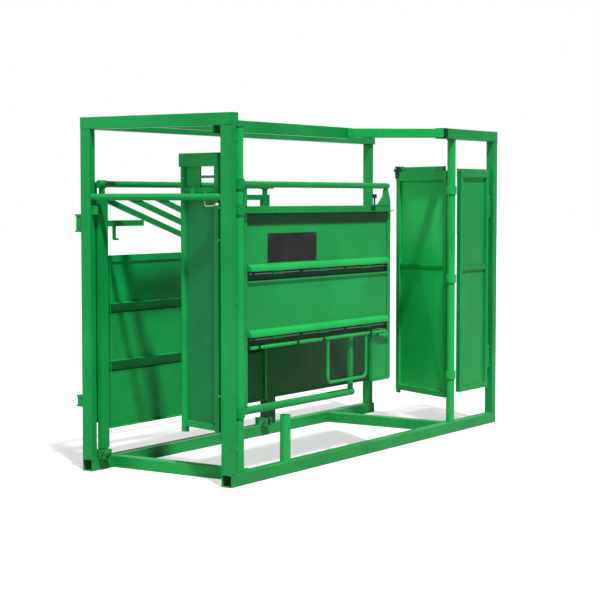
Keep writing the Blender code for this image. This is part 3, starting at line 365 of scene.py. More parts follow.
def enamel(name, deep, fresh, gloss=0.30, wave=0.0, wear=0.55, shade_mask=None, shade_depth=0.0):
    """Green paint between two shades.  gloss is its roughness, wave buckles a sheet, wear chips
    the corners, and the last two arguments give a mask of painted shade and how far it darkens the paint."""
    paint = Finish(name)
    where = paint.place()
    cloud, fine = paint.noise(1.7, 4.0, 0.55), paint.noise(38.0, 3.0, 0.6)
    runs = paint.noise(1.0, 3.0, 0.6, where=paint.stretched(RUN_STRETCH)).between(0.56, 0.78)
    run_color = tuple(part * share for part, share in zip(deep, RUN_SHADE))
    body = paint.mix(runs * 0.16, paint.mix(cloud.between(0.32, 0.68), deep, fresh), run_color)
    dust = (1.0 - paint.axis(where, "Z").between(*DUST_UP)) * fine.between(0.35, 0.8) * 0.12
    chalk = paint.axis(paint.facing(), "Z").between(0.6, 1.0) * cloud.between(0.25, 0.75) * 0.05
    body = paint.mix(chalk, paint.mix(dust, body, DUST), CHALK)
    ragged = paint.noise(16.0, 5.0, 0.7).between(0.50, 0.62)
    chips = paint.edges(CHIP_WIDTH).between(0.045, 0.20) * ragged * wear
    spots = paint.noise(120.0, 2.0, 0.5).between(0.79, 0.82) * 0.4
    scars = (chips + spots).clipped()
    # Painted shade: where the mask says, the paint darkens towards near black.
    if shade_mask:
        body = paint.mix(shade_mask(paint, where) * (shade_depth + fine * 0.10), body, PAINTED_SHADE_COLOR)
    body = paint.mix(scars, body, paint.mix(fine, PRIMER, RUST))
    rough = (cloud * 0.10 + fine * 0.06 + (gloss - 0.06) + dust * 0.9 + scars * 0.35).clipped()
    bumps = paint.noise(420.0, 2.0, 0.5) * 0.00012 + fine * 0.00025 - scars * 0.0004
    if wave:
        bumps = bumps + paint.noise(2.6, 1.0, 0.4) * wave
    return paint.finish(body, rough, paint.bump(bumps), Coat_Weight=0.02, Coat_Roughness=0.16,
                        Specular_IOR_Level=0.10)


print("enamel chips reach about %.1f mm from a corner" % (CHIP_WIDTH * 1000))

# %% Every green on the chute
FRAME_GREEN = (0.0030, 0.255, 0.050), (0.0055, 0.320, 0.066)
PANEL_GREEN = (0.0028, 0.275, 0.054), (0.0050, 0.345, 0.070)
ON_A_SHEET = {"wave": 0.006, "wear": 0.4}    # a sheet buckles a little and has few bare corners

frame_enamel = enamel("frame_enamel", *FRAME_GREEN)
# The tail door's sheet: a lighter green that paints sunlight on a sheet that faces away from the key.
painted_sunlit_door_enamel = enamel("painted_sunlit_door_enamel", (0.0090, 0.430, 0.080), (0.0150, 0.500, 0.094), **ON_A_SHEET)
panel_enamel = enamel("panel_enamel", *PANEL_GREEN, gloss=0.27, **ON_A_SHEET)
# A lighter copy of the frame's green: painted sunlight on the pipes, lips, tail door frame and bar, and
# handles.
painted_sunlit_enamel = enamel("painted_sunlit_enamel", (0.0075, 0.345, 0.066), (0.014, 0.410, 0.080))
# The head door's sheet: a darker green that paints the shade it stands in, and more worn corners.
worn_and_shaded_door_enamel = enamel("worn_and_shaded_door_enamel", (0.0026, 0.165, 0.040), (0.0045, 0.215, 0.050), gloss=0.34,
                       wave=0.006, wear=0.7)
# Painted shade: this green darkens low down behind the alley's middle, on all but the outward faces.
alley_shade_enamel = enamel("alley_shade_enamel", *FRAME_GREEN, gloss=0.34, wave=0.006, shade_mask=painted_alley_shade,
                       shade_depth=0.80)
# Painted shade: the first 50 mm of the near top rail darken towards near black.
end_shade_enamel = enamel("end_shade_enamel", *FRAME_GREEN, shade_mask=painted_end_shade, shade_depth=0.88)
# Painted shadow: a dark band under the top rail's lip on the upper drop panel.
lip_shadow_enamel = enamel("lip_shadow_enamel", *PANEL_GREEN, gloss=0.27, shade_mask=painted_lip_shadow, shade_depth=0.72, **ON_A_SHEET)
# A near-black green: painted deep shade on the hinge rails and on the strips in the slots and on the far
# post.
painted_deep_shade_enamel = enamel("painted_deep_shade_enamel", (0.0030, 0.040, 0.014), (0.0040, 0.070, 0.022), gloss=0.42)
bead_enamel = enamel("bead_enamel", (0.0030, 0.240, 0.048), (0.0060, 0.330, 0.068), gloss=0.34, wear=0.2)
# A darker copy of the frame's green: painted shade on the head door's lever and its bracket.
painted_shadow_enamel = enamel("painted_shadow_enamel", (0.0030, 0.120, 0.034), (0.0050, 0.165, 0.045), gloss=0.36)
print("the frame's green lies between", *FRAME_GREEN)

# %% [markdown]
# ## Steel, black and grey parts
#
# Pins, rods, nuts and washers are zinc plated: a dull metal with a faint mottle.  The tail
# door's bracket and the pull pin are near black.  The label's place is kept as one bare
# neutral plate.  The hook wire is yellow zinc with a pale rubber tip.

# %% Small finishes
def zinc():
    metal = Finish("zinc_plate")
    mottle = metal.noise(46.0, 4.0, 0.6)
    rust = metal.noise(22.0, 5.0, 0.65).between(0.60, 0.72)
    plate = metal.mix(mottle, (0.13, 0.14, 0.14), (0.26, 0.26, 0.25))
    color = metal.mix(rust * 0.55, plate, (0.12, 0.06, 0.03))
    return metal.finish(color, (mottle * 0.25 + 0.30 + rust * 0.25).clipped(),
                        metal.bump(mottle * 0.0003), metallic=(1.0 - rust * 0.7))


def black_paint():
    paint = Finish("black_paint")
    mottle = paint.noise(30.0, 4.0, 0.6)
    edge = paint.edges(0.003).between(0.05, 0.25) * mottle.between(0.45, 0.6)
    coat = paint.mix(mottle, (0.010, 0.014, 0.012), (0.022, 0.028, 0.024))
    return paint.finish(paint.mix(edge * 0.6, coat, (0.10, 0.075, 0.05)), mottle * 0.15 + 0.38,
                        paint.bump(paint.noise(260.0, 2.0) * 0.0002), Specular_IOR_Level=0.2)


def grip_plastic():
    plastic = Finish("grip_plastic")
    grain = plastic.noise(340.0, 2.0)
    color = plastic.mix(plastic.noise(24.0), (0.012, 0.012, 0.012), (0.024, 0.023, 0.022))
    return plastic.finish(color, grain * 0.12 + 0.5, plastic.bump(grain * 0.0003))


def bare_label():
    plate = Finish("bare_label")
    streak = plate.noise(1.0, 4.0, 0.6, where=plate.stretched((3.0, 3.0, 60.0)))
    cloud = plate.noise(7.0, 3.0, 0.5)
    color = plate.mix(cloud.between(0.3, 0.7), (0.014, 0.014, 0.013), (0.022, 0.022, 0.020))
    return plate.finish(color, streak * 0.1 + 0.42, plate.bump(cloud * 0.0004), Specular_IOR_Level=0.12)


def yellow_zinc():
    metal = Finish("yellow_zinc")
    mottle = metal.noise(60.0, 3.0, 0.6)
    color = metal.mix(mottle, (0.62, 0.52, 0.20), (0.78, 0.72, 0.42))
    return metal.finish(color, mottle * 0.2 + 0.28, metal.bump(mottle * 0.0002), metallic=0.85)


def pale_rubber():
    rubber = Finish("pale_rubber")
    mottle = rubber.noise(80.0, 3.0, 0.6)
    color = rubber.mix(mottle, (0.62, 0.60, 0.50), (0.76, 0.75, 0.66))
    return rubber.finish(color, mottle * 0.1 + 0.55, rubber.bump(mottle * 0.0004))


zinc_plate, black_finish, grip_finish = zinc(), black_paint(), grip_plastic()
label_finish, hook_finish, tip_finish = bare_label(), yellow_zinc(), pale_rubber()

# %% [markdown]
# ## Finishing the frame's own solids
#
# The solids come with sharp corners and split faces.  A Weld modifier joins the faces, and
# a narrow Bevel rounds each corner the way rolled tube is rounded, which is what catches
# the light.  Modifiers leave the imported mesh itself alone.

# %% Which finish goes where
# The lighter green paints sunlight on these pieces.
SUNLIT_PAINT_PARTS = ("pipe_post_front", "pipe_post_tail", "stub_post", "top_brace", "loop_handle", "latch_rod")
# The darker green paints shade on these pieces.
SHADOW_PAINT_PARTS = ("head_lever", "lever_bracket")
STEEL = ("head_pin_lower", "head_pin_upper", "rear_pin_lower", "rear_pin_upper", "squeeze_pin_front",
         "squeeze_pin_rear", "upper_hinge_rod", "middle_hinge_rod")
# These pieces take painted shade low down at the back of the alley.
ALLEY_SHADE_PARTS = ("far_rear_panel", "squeeze_upright_rear", "squeeze_panel_lower", "squeeze_panel_middle")
# The near-black green paints deep shade on these pieces.
DEEP_SHADE_PAINT_PARTS = ("upper_hinge_rail", "middle_hinge_rail")
# Here the tail door's sheet and frame take painted sunlight, and the head door's sheet, the upper drop panel
# and the near top rail take painted shade.
ALONE = {"tail_door_sheet": painted_sunlit_door_enamel, "tail_door_frame": painted_sunlit_enamel,
         "tail_door_bracket": black_finish, "pull_pin": grip_finish, "label_plate": label_finish,
         "head_door_sheet": worn_and_shaded_door_enamel, "upper_drop_panel": lip_shadow_enamel,
         "top_rail_near": end_shade_enamel}
GROUPS = ((SUNLIT_PAINT_PARTS, painted_sunlit_enamel), (SHADOW_PAINT_PARTS, painted_shadow_enamel), (STEEL, zinc_plate), (ALLEY_SHADE_PARTS, alley_shade_enamel),
          (DEEP_SHADE_PAINT_PARTS, painted_deep_shade_enamel))


def finish_for(name):
    if name in ALONE:
        return ALONE[name]
    for names, finish in GROUPS:
        if name in names:
            return finish
    if "sheet" in name or "panel" in name or name == "kick_plate":
        return panel_enamel
    return frame_enamel


print("named finishes:", len(ALONE) + sum(len(names) for names, finish in GROUPS))

# %% Materials and rounded corners
TUBES = ("base_", "post_", "top_")
TUBE_CORNER, SHEET_CORNER, PLAIN_CORNER = 0.0055, 0.0012, 0.0022
WELD_REACH = 0.00005         # split faces nearer than this are joined
SHARP_TURN = 50.0            # degrees; a shallower corner is a facet of something round


def corner_radius(name):
    if name.startswith(TUBES):
        return TUBE_CORNER
    return SHEET_CORNER if "sheet" in name or "label" in name else PLAIN_CORNER


for name, solid in nodes.items():
    solid.data.materials.clear()
    solid.data.materials.append(finish_for(name))
    weld = solid.modifiers.new("joined", "WELD")
    weld.merge_threshold = WELD_REACH
    bevel = solid.modifiers.new("rounded", "BEVEL")
    bevel.width, bevel.segments = corner_radius(name), 2
    bevel.limit_method, bevel.angle_limit = "ANGLE", radians(SHARP_TURN)
    bevel.use_clamp_overlap = True
    bevel.harden_normals = True
print("finished", len(nodes), "solids")

# %% [markdown]
# ## Where the turning pieces stand
#
# Doors stand open at rest, so what is fixed to a door is easiest to place along the door
# itself.  A matrix for each door turns "so far from the hinge, so far in front of the sheet,
# so high" into a place in the scene.  The hinge places come from the pins' and pipes' boxes.

# %% Door places
HEAD_TURN, TAIL_TURN, GATE_TURN = 75.0, 64.0, 180.0     # degrees from +X


def middle_of(node):
    corner, far_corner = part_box(node)
    return (corner + far_corner) / 2


def door_place(axis_node, turn):
    axis = middle_of(axis_node)
    return Matrix.Translation((axis.x, axis.y, 0.0)) @ Matrix.Rotation(radians(turn), 4, "Z")


HEAD_DOOR = door_place("head_pin_lower", HEAD_TURN)
TAIL_DOOR = door_place("pipe_post_tail", TAIL_TURN)
REAR_GATE = door_place("rear_pin_lower", GATE_TURN)
PLAIN = Matrix.Identity(4)
print("the tail door's hinge is at x = %.3f" % TAIL_DOOR.translation.x)

# %% [markdown]
# ## Weld beads
#
# Every joint in the frame is welded, and a bead is what tells a welded joint from two boxes
# that touch.  A bead is a row of overlapping puddles, so it is swept as a thin tube whose
# thickness swells every few millimetres.  Faces on the outside of the chute get none: there
# the fitter grinds the bead flush.  All beads on one body are one mesh.

# %% Sweeping a tube
BEAD, FINE_BEAD, THIN_BEAD = 0.0040, 0.0030, 0.0028      # radii of beads
RIPPLE, SWELL = 0.0055, 0.2          # from one puddle to the next, and by how much each swells
UNEVEN = 90.0                        # how fast the swelling wanders, per metre
BEAD_SIDES = 7
END_SHARE = 0.45                     # how thick a tube's ends are


def join_rings(solid, rings):
    """Faces from each ring to the next."""
    sides = len(rings[0])
    for first, second in zip(rings, rings[1:]):
        for k in range(sides):
            after = (k + 1) % sides
            solid.faces.new((first[k], first[after], second[after], second[k]))


def sweep(solid, points, radius, sides, closed=False, ripple=0.0):
    """A tube through the points; with a ripple its thickness swells and shrinks."""
    points = [Vector(point) for point in points]
    count = len(points)
    rings, along = [], 0.0
    for index, point in enumerate(points):
        before = points[index - 1] if index or closed else point
        after = points[(index + 1) % count] if index < count - 1 or closed else point
        run = (after - before).normalized()
        side = (side - run * side.dot(run)).normalized() if rings else run.orthogonal().normalized()
        up = run.cross(side)
        swell = sin(tau * along / RIPPLE) + smooth_noise.noise(point * UNEVEN)
        thick = radius * (1 + ripple * swell)
        if not closed and index in (0, count - 1):
            thick *= END_SHARE
        turns = [tau * k / sides for k in range(sides)]
        rings.append([solid.verts.new(point + (side * cos(turn) + up * sin(turn)) * thick)
                      for turn in turns])
        along += (after - point).length
    join_rings(solid, rings + rings[:1] if closed else rings)
    if not closed:
        solid.faces.new(rings[0][::-1])
        solid.faces.new(rings[-1])


def ring_points(centre, axis, radius, count):
    """Places round a circle."""
    axis = Vector(axis).normalized()
    side = axis.orthogonal().normalized()
    up = axis.cross(side)
    return [Vector(centre) + (side * cos(tau * i / count) + up * sin(tau * i / count)) * radius
            for i in range(count)]


print("a bead's puddles are %.1f mm apart" % (RIPPLE * 1000))

# %% Beads, and settling a piece on its body
LEAST_STEPS = 3
SMOOTH_TURN = 40.0                   # degrees; a sharper corner stays an edge
seams = {}                           # body name -> the mesh that its beads are gathered in


def seam(body, start, end, place=PLAIN, radius=BEAD):
    """A bead between two points."""
    start, end = place @ Vector(start), place @ Vector(end)
    steps = max(LEAST_STEPS, int((end - start).length / (RIPPLE / 2)))
    solid = seams.setdefault(body, bmesh.new())
    points = [start.lerp(end, i / steps) for i in range(steps + 1)]
    sweep(solid, points, radius, BEAD_SIDES, ripple=SWELL)


def ring_seam(body, centre, axis, radius):
    """A bead round a pipe."""
    points = ring_points(centre, axis, radius, int(tau * radius / (RIPPLE / 2)))
    sweep(seams.setdefault(body, bmesh.new()), points, BEAD, BEAD_SIDES, True, SWELL)


def settle(solid, name, body, material):
    """Turn a gathered mesh into a piece that rides on a body."""
    mesh = bpy.data.meshes.new(name)
    bmesh.ops.recalc_face_normals(solid, faces=solid.faces)
    solid.to_mesh(mesh)
    solid.free()
    mesh.shade_smooth()
    mesh.set_sharp_from_angle(angle=radians(SMOOTH_TURN))
    mesh.materials.append(material)
    piece = bpy.data.objects.new(name, mesh)
    bpy.context.scene.collection.objects.link(piece)
    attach(piece, body)


print("a bead has at least %d steps" % LEAST_STEPS)

# %% Seams of the fixed frame
FRONT_POST_DEEP, REAR_POST_WIDE = 0.050, 0.060
SETBACK, BEAD_LAP = 0.0015, 0.001    # a bead's centre out from its corner, or in from an edge
OUTER_GAP, INNER_GAP = 0.006, 0.002  # from a bead's end to the outer and inner faces
FAR_POST_WIDE, TACK = 0.070, 0.005
CROSS_GAP, GROUND_GAP = 0.004, 0.008

rail_low, rail_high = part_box("base_rail_near")
far_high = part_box("base_rail_far")[1]
deck = rail_high.z                                  # top of the base rails
near_in, far_in = rail_high.y, far_high.y - (rail_high.y - rail_low.y)
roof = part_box("top_cross_front")[0].z               # underside of the top rails
front, rear = rail_low.x, rail_high.x
post_back = front + FRONT_POST_DEEP + SETBACK
post_ahead = rear - REAR_POST_WIDE - SETBACK
beside_rails = (near_in + SETBACK, far_in - SETBACK)     # beads on the rails' inner faces

for level in (deck + SETBACK, roof - SETBACK):
    for x, start, end in ((post_back, rail_low.y + OUTER_GAP, near_in - INNER_GAP),
                          (post_back, far_in + INNER_GAP, far_in + FAR_POST_WIDE),
                          (post_ahead, rail_low.y + OUTER_GAP, rail_low.y + REAR_POST_WIDE),
                          (post_ahead, far_high.y - TACK - REAR_POST_WIDE, far_high.y - REAR_POST_WIDE)):
        seam("frame", (x, start, level), (x, end, level))
for node in ("base_cross_front", "base_cross_rear"):
    low_corner, high_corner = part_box(node)
    level = high_corner.z - BEAD_LAP
    for y in beside_rails:
        seam("frame", (low_corner.x + CROSS_GAP, y, level + 2 * BEAD_LAP),
             (high_corner.x - CROSS_GAP, y, level + 2 * BEAD_LAP))
        for x in (low_corner.x - SETBACK, high_corner.x + SETBACK):
            seam("frame", (x, y, GROUND_GAP), (x, y, level))
print("beads on the posts and cross tubes:", len(seams["frame"].faces), "faces")

# %% Seams of the round pipes
BAR_POINTS, FRONT_GAP = 50, 0.008    # the front bar's beads stop short of the ground front face

for node in ("pipe_post_front", "pipe_post_tail"):
    low_corner, high_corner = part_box(node)
    radius = (high_corner.y - low_corner.y) / 2
    for level in (deck + SETBACK, roof - SETBACK):
        ring_seam("frame", (high_corner.x - radius, middle_of(node).y, level), (0, 0, 1), radius + SETBACK)
stub_low, stub_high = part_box("stub_post")
stub = middle_of("stub_post")
ring_seam("frame", (stub.x, stub.y, deck), (0, 0, 1), (stub_high.x - stub_low.x) / 2 - SETBACK)
bar_low, bar_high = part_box("front_bar")
bar_radius = (bar_high.x - bar_low.x) / 2
bar_centre = Vector((bar_low.x + bar_radius, 0.0, bar_low.z + bar_radius))
for y in beside_rails:
    points = ring_points((bar_centre.x, y, bar_centre.z), (0, 1, 0), bar_radius - BEAD_LAP, BAR_POINTS)
    sweep(seams["frame"], [point for point in points if point.x > front + FRONT_GAP], BEAD, BEAD_SIDES,
          ripple=SWELL)
print("beads on the fixed frame so far:", len(seams["frame"].faces), "faces")

# %% Seams of the pipe straps, lugs and rails above
STRAPS_UP, STRAP_TALL, STRAP_HALF = (0.200, 1.080, 2.040), 0.040, 0.012
HEAD_LUGS, LUG_BEAD = (0.283, 0.530, 1.450, 1.640), (0.014, 0.048)
RAIL_GAP = 0.004

strap_middle = middle_of("pipe_post_tail").y
for low_edge in STRAPS_UP:
    for side in (-1, 1):
        y = strap_middle + side * (STRAP_HALF + SETBACK)
        seam("frame", (post_back, y, low_edge), (post_back, y, low_edge + STRAP_TALL), radius=FINE_BEAD)
for level in HEAD_LUGS:
    start, end = ((front + along, near_in + SETBACK, level - SETBACK) for along in LUG_BEAD)
    seam("frame", start, end, radius=FINE_BEAD)
centre_low, centre_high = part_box("top_rail_centre")
far_rail_low, far_rail_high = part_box("top_rail_far")
for x, y, top in ((centre_low.x, centre_low.y - SETBACK, centre_high.z),
                  (centre_low.x, centre_high.y + SETBACK, centre_high.z),
                  (far_rail_low.x, far_rail_low.y - SETBACK, far_rail_high.z)):
    seam("frame", (x + SETBACK, y, roof + RAIL_GAP), (x + SETBACK, y, top - RAIL_GAP))
print("beads on the fixed frame now:", len(seams["frame"].faces), "faces")

# %% Seams of the doors and the gate
TAIL_COLLARS_UP, COLLAR_HALF, COLLAR_RADIUS = (0.420, 1.120, 1.760), 0.030, 0.0381
COLLAR_WEB_HALF = 0.0195
TAIL_INNER, TAIL_SHEET = (0.0791, 0.640), (0.290, 1.830)      # inner edges of its uprights from
GATE_INNER, GATE_SHEET = (0.062, 0.436), (0.320, 1.855)       # the hinge, and of its bars from
HEAD_INNER, HEAD_SHEET = (0.066, 0.3525), (0.350, 1.735)      # the ground
BEAD_FACE = 0.003                                             # from a sheet's middle to its beads

for up in TAIL_COLLARS_UP:
    for y in (-COLLAR_WEB_HALF, COLLAR_WEB_HALF):
        seam("tail_door", (COLLAR_RADIUS - BEAD_LAP, y, up - COLLAR_HALF),
             (COLLAR_RADIUS - BEAD_LAP, y, up + COLLAR_HALF), TAIL_DOOR, FINE_BEAD)


def frame_the_sheet(body, place, inner, up):
    """Beads round a door's sheet, in the corner between the sheet and its frame."""
    for y in (-BEAD_FACE, BEAD_FACE):
        for x in (inner[0] + BEAD_LAP, inner[1] - BEAD_LAP):
            seam(body, (x, y, up[0]), (x, y, up[1]), place, THIN_BEAD)
        for z in (up[0] + BEAD_LAP, up[1] - BEAD_LAP):
            seam(body, (inner[0], y, z), (inner[1], y, z), place, THIN_BEAD)


frame_the_sheet("tail_door", TAIL_DOOR, TAIL_INNER, TAIL_SHEET)
frame_the_sheet("rear_gate", REAR_GATE, GATE_INNER, GATE_SHEET)
frame_the_sheet("head_door", HEAD_DOOR, HEAD_INNER, HEAD_SHEET)
print("bodies with beads:", ", ".join(sorted(seams)))

# %% Seams of the two sides
UPRIGHT_GAP, PANEL_GAP = 0.004, 0.008

uprights = [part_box("side_%s_upright" % end) for end in ("front", "rear")]
under_rail = uprights[0][1].z - SETBACK
for low_corner, high_corner in uprights:
    y = low_corner.y - BEAD_LAP
    seam("swing_side", (low_corner.x + UPRIGHT_GAP, y, under_rail),
         (high_corner.x - UPRIGHT_GAP, y, under_rail), radius=THIN_BEAD)
squeeze_front, squeeze_rear = (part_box("squeeze_upright_" + end) for end in ("front", "rear"))
y = squeeze_front[0].y + UPRIGHT_GAP
for name in ("lower", "middle", "upper"):
    low_corner, high_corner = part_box("squeeze_panel_" + name)
    for x in (squeeze_front[1].x + SETBACK, squeeze_rear[0].x - SETBACK):
        seam("squeeze_side", (x, y, low_corner.z + PANEL_GAP), (x, y, high_corner.z - PANEL_GAP),
             radius=THIN_BEAD)
loop_low, loop_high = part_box("loop_handle")
loop_radius = (loop_high.y - loop_low.y) / 2
for x in (loop_low.x + loop_radius, loop_high.x - loop_radius):
    ring_seam("latch", (x, middle_of("loop_handle").y, loop_high.z - BEAD_LAP), (0, 0, 1), loop_radius)
for body, solid in seams.items():
    settle(solid, "weld_beads_" + body, body, bead_enamel)

# %% [markdown]
# ## Stiffeners on the doors
#
# A wide sheet in a door drums and bends, so a flat bar is welded across its middle.  It is a
# bar with rolled corners, made as a box with its edges bevelled.

# %% Door stiffeners
STIFFENER_UP, STIFFENER_TALL, STIFFENER_DEEP = 1.190, 0.034, 0.010
SHEET_FACE = 0.0024                  # from the middle of a door's sheet to its face
ROLLED, SHEARED = 0.0016, 0.0008     # corner radius of a rolled bar and of a sheared strip


def flat_bar(name, body, place, along, across, up, material=frame_enamel,
             rounding=ROLLED):
    """A bar between two limits each way, with rounded edges."""
    solid = bmesh.new()
    bmesh.ops.create_cube(solid, size=1.0)
    limits = (along, across, up)
    for vert in solid.verts:
        vert.co = place @ Vector([start + (part + 0.5) * (end - start)
                                  for part, (start, end) in zip(vert.co, limits)])
    bmesh.ops.bevel(solid, geom=solid.edges[:], offset=rounding, segments=2, profile=0.7, affect="EDGES")
    settle(solid, name, body, material)


for body, place, inner in (("tail_door", TAIL_DOOR, TAIL_INNER), ("rear_gate", REAR_GATE, GATE_INNER)):
    flat_bar(body + "_stiffener", body, place, (inner[0] + BEAD_LAP, inner[1] - BEAD_LAP),
             (SHEET_FACE, SHEET_FACE + STIFFENER_DEEP),
             (STIFFENER_UP - STIFFENER_TALL / 2, STIFFENER_UP + STIFFENER_TALL / 2))
print("stiffeners at", STIFFENER_UP, "m")

# %% [markdown]
# ## Washers, split pins, nuts and rivets
#
# A hinge pin drops in from above and is kept by a washer and a split pin below.  The split
# pin is one wire, bent to an eye with two legs that are spread apart.  These small zinc
# pieces are bought in, so they stay bare when the frame is sprayed.

# %% Washers and split pins
PIN_RADIUS, PIN_PLAY = 0.009, 0.0006
WASHER_RADIUS, WASHER_THICK, WASHER_EDGE = 0.0165, 0.0022, 0.0005
WIRE = 0.0014                        # radius of a split pin's wire
EYE_BACK, EYE_RADIUS, EYE_POINTS = 0.0185, 0.0042, 14
LEG = ((-0.0145, 0.0), (0.0, WIRE * 0.9), (0.011, WIRE), (0.015, 0.004), (0.017, 0.009))
fittings = {}                        # body name -> the mesh that its fittings are gathered in


def fitting(body):
    return fittings.setdefault(body, bmesh.new())


def turned(solid, centre, axis, profile, sides=24):
    """A turned piece: profile pairs are (distance along the axis, radius), closed on itself."""
    axis = Vector(axis).normalized()
    rings = [[solid.verts.new(point) for point in
              ring_points(Vector(centre) + axis * along, axis, radius, sides)] for along, radius in profile]
    join_rings(solid, rings + rings[:1])


def washer(body, centre, axis):
    hole, neck = PIN_RADIUS + PIN_PLAY, WASHER_RADIUS - WASHER_EDGE
    turned(fitting(body), centre, axis,
           [(0.0, hole), (0.0, neck), (WASHER_EDGE, WASHER_RADIUS),
            (WASHER_THICK - WASHER_EDGE, WASHER_RADIUS), (WASHER_THICK, neck), (WASHER_THICK, hole)])


def split_pin(body, centre, run, up):
    """A split pin through a pin at centre, running along run, with its legs spread along up."""
    centre, run, up = Vector(centre), Vector(run).normalized(), Vector(up).normalized()
    turns = [tau * i / EYE_POINTS for i in range(EYE_POINTS)]
    eye = [centre - run * EYE_BACK + (run * cos(turn) + up * sin(turn)) * EYE_RADIUS for turn in turns]
    sweep(fitting(body), eye, WIRE, 6, closed=True)
    for side in (-1, 1):
        leg = [centre + run * along + up * side * spread for along, spread in LEG]
        sweep(fitting(body), leg, WIRE, 6)


print("a split pin's legs spread to %.0f mm" % (LEG[-1][1] * 2000))

# %% Nuts and rivets
NUT_FLATS, NUT_TALL, NUT_HOLE = 0.015, 0.008, 0.0072
NUT_EDGE, NUT_NECK, NUT_POINTS = 0.0011, 0.93, 24
RIVET_RADIUS, RIVET_FLAT, RIVET_SIDES = 0.0042, 0.5, 16
RIVET_LIFTS = (0, 20, 42, 64)        # degrees up the dome


def hex_nut(body, centre, axis, hole=NUT_HOLE):
    """A nut: six sides with their corners turned off, bored right through."""
    solid = fitting(body)
    axis = Vector(axis).normalized()
    side = axis.orthogonal().normalized()
    up = axis.cross(side)
    corner = NUT_FLATS / 3 ** 0.5
    neck = corner * NUT_NECK
    profile = ((0.0, hole, False), (0.0, neck, False), (NUT_EDGE, corner, True),
               (NUT_TALL - NUT_EDGE, corner, True), (NUT_TALL, neck, False), (NUT_TALL, hole, False))
    rings = []
    for along, radius, six_sided in profile:
        ring = []
        for i in range(NUT_POINTS):
            angle = tau * i / NUT_POINTS
            share = cos(tau / 12) / cos((angle % (tau / 6)) - tau / 12) if six_sided else 1.0
            out = (side * cos(angle) + up * sin(angle)) * radius * share
            ring.append(solid.verts.new(Vector(centre) + axis * along + out))
        rings.append(ring)
    join_rings(solid, rings + rings[:1])


def rivet(body, centre, out):
    """A domed rivet head."""
    solid = fitting(body)
    centre, out = Vector(centre), Vector(out).normalized()
    rings = []
    for lift in RIVET_LIFTS:
        place = centre + out * RIVET_RADIUS * RIVET_FLAT * sin(radians(lift))
        points = ring_points(place, out, RIVET_RADIUS * cos(radians(lift)), RIVET_SIDES)
        rings.append([solid.verts.new(point) for point in points])
    join_rings(solid, rings)
    solid.faces.new(rings[-1])
    solid.faces.new(rings[0][::-1])


print("a nut is %.0f mm across its flats" % (NUT_FLATS * 1000))

# %% Pins and nuts in place
EYES_TOWARDS = {"head": (-1.0, -0.35, 0.0), "rear": (1.0, 0.0, 0.0)}     # clear of each door's sweep
PIN_DROP, PIN_SEAT = 0.012, 0.0004   # a pin below its lug, and a washer's lap on it
COTTER_IN = 0.0045                   # a split pin in from the pin's end
PIVOT_IN, NUT_SEAT = 0.016, 0.0035   # the lever's pivot in its bracket
RIVET_IN = 0.014                     # a rivet in from the label's corner

for node in ("head_pin_lower", "head_pin_upper", "rear_pin_lower", "rear_pin_upper"):
    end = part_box(node)[0].z
    pin = middle_of(node)
    washer("frame", (pin.x, pin.y, end + PIN_DROP - PIN_SEAT), (0, 0, -1))
    split_pin("frame", (pin.x, pin.y, end + COTTER_IN), -Vector(EYES_TOWARDS[node[:4]]), (0, 0, 1))
for node in ("squeeze_pin_front", "squeeze_pin_rear"):
    low_corner, high_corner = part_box(node)
    pin = middle_of(node)
    for x in (low_corner.x + COTTER_IN, high_corner.x - COTTER_IN):
        split_pin("frame", (x, pin.y, pin.z), (0, 0.5, -1), (1, 0, 0))
lever_low, lever_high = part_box("lever_bracket")
hex_nut("frame", (lever_high.x - PIVOT_IN, lever_high.y - NUT_SEAT, lever_low.z + PIVOT_IN), (0, -1, 0))
label_low, label_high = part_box("label_plate")
for x in (label_low.x + RIVET_IN, label_high.x - RIVET_IN):
    for z in (label_low.z + RIVET_IN, label_high.z - RIVET_IN):
        rivet("upper_drop", (x, label_low.y, z), (0, -1, 0))
print("fittings ride on", ", ".join(sorted(fittings)))

# %% [markdown]
# ## Folded lips, stop strips and small plates
#
# Each drop panel's lower lip is stiffened by a sloping flange, folded from the lip's outer
# edge back up to the sheet; it is drawn as one profile and extruded along the panel, in the
# lighter green that paints sunlight on it.  Narrow strips behind the hinges keep the daylight
# out of the slots, in a near-black green that paints the shade in them.  A strip on the far
# post, in the same painted-shade green, is what the leaning side stops against.  The far lugs
# are joined by a web, and the front top tube's open end is closed with a plate.

# %% Lips and slot strips
LIP_THICK, LIP_OVER = 0.006, 0.012           # and the lip's underside above its hinge rod
FLANGE_TALL, FLANGE_OUT = 0.037, 0.0290
FLANGE_TURNS = (4, 14, 26, 40, 56, 72, 88)   # degrees along the flange's curve
FLANGE_HOLLOW = 1.4                          # above 1 the curve falls in towards the sheet
SHEET_THICK, FLANGE_SEAT = 0.004, 0.0002
FLANGE_SHORT = 0.002                         # the flange stops this far from the panel's ends
STRIP_BEHIND = (0.0015, 0.0045)              # a slot strip's faces behind the panel
STRIP_DOWN, STRIP_UP = 0.0005, 0.020


def extrude(name, body, profile, along, material):
    """A profile of (across, up) points, extruded along the chute."""
    solid = bmesh.new()
    ends = [[solid.verts.new((x, y, z)) for y, z in profile] for x in along]
    join_rings(solid, ends)
    solid.faces.new(ends[0][::-1])
    solid.faces.new(ends[1])
    settle(solid, name, body, material)


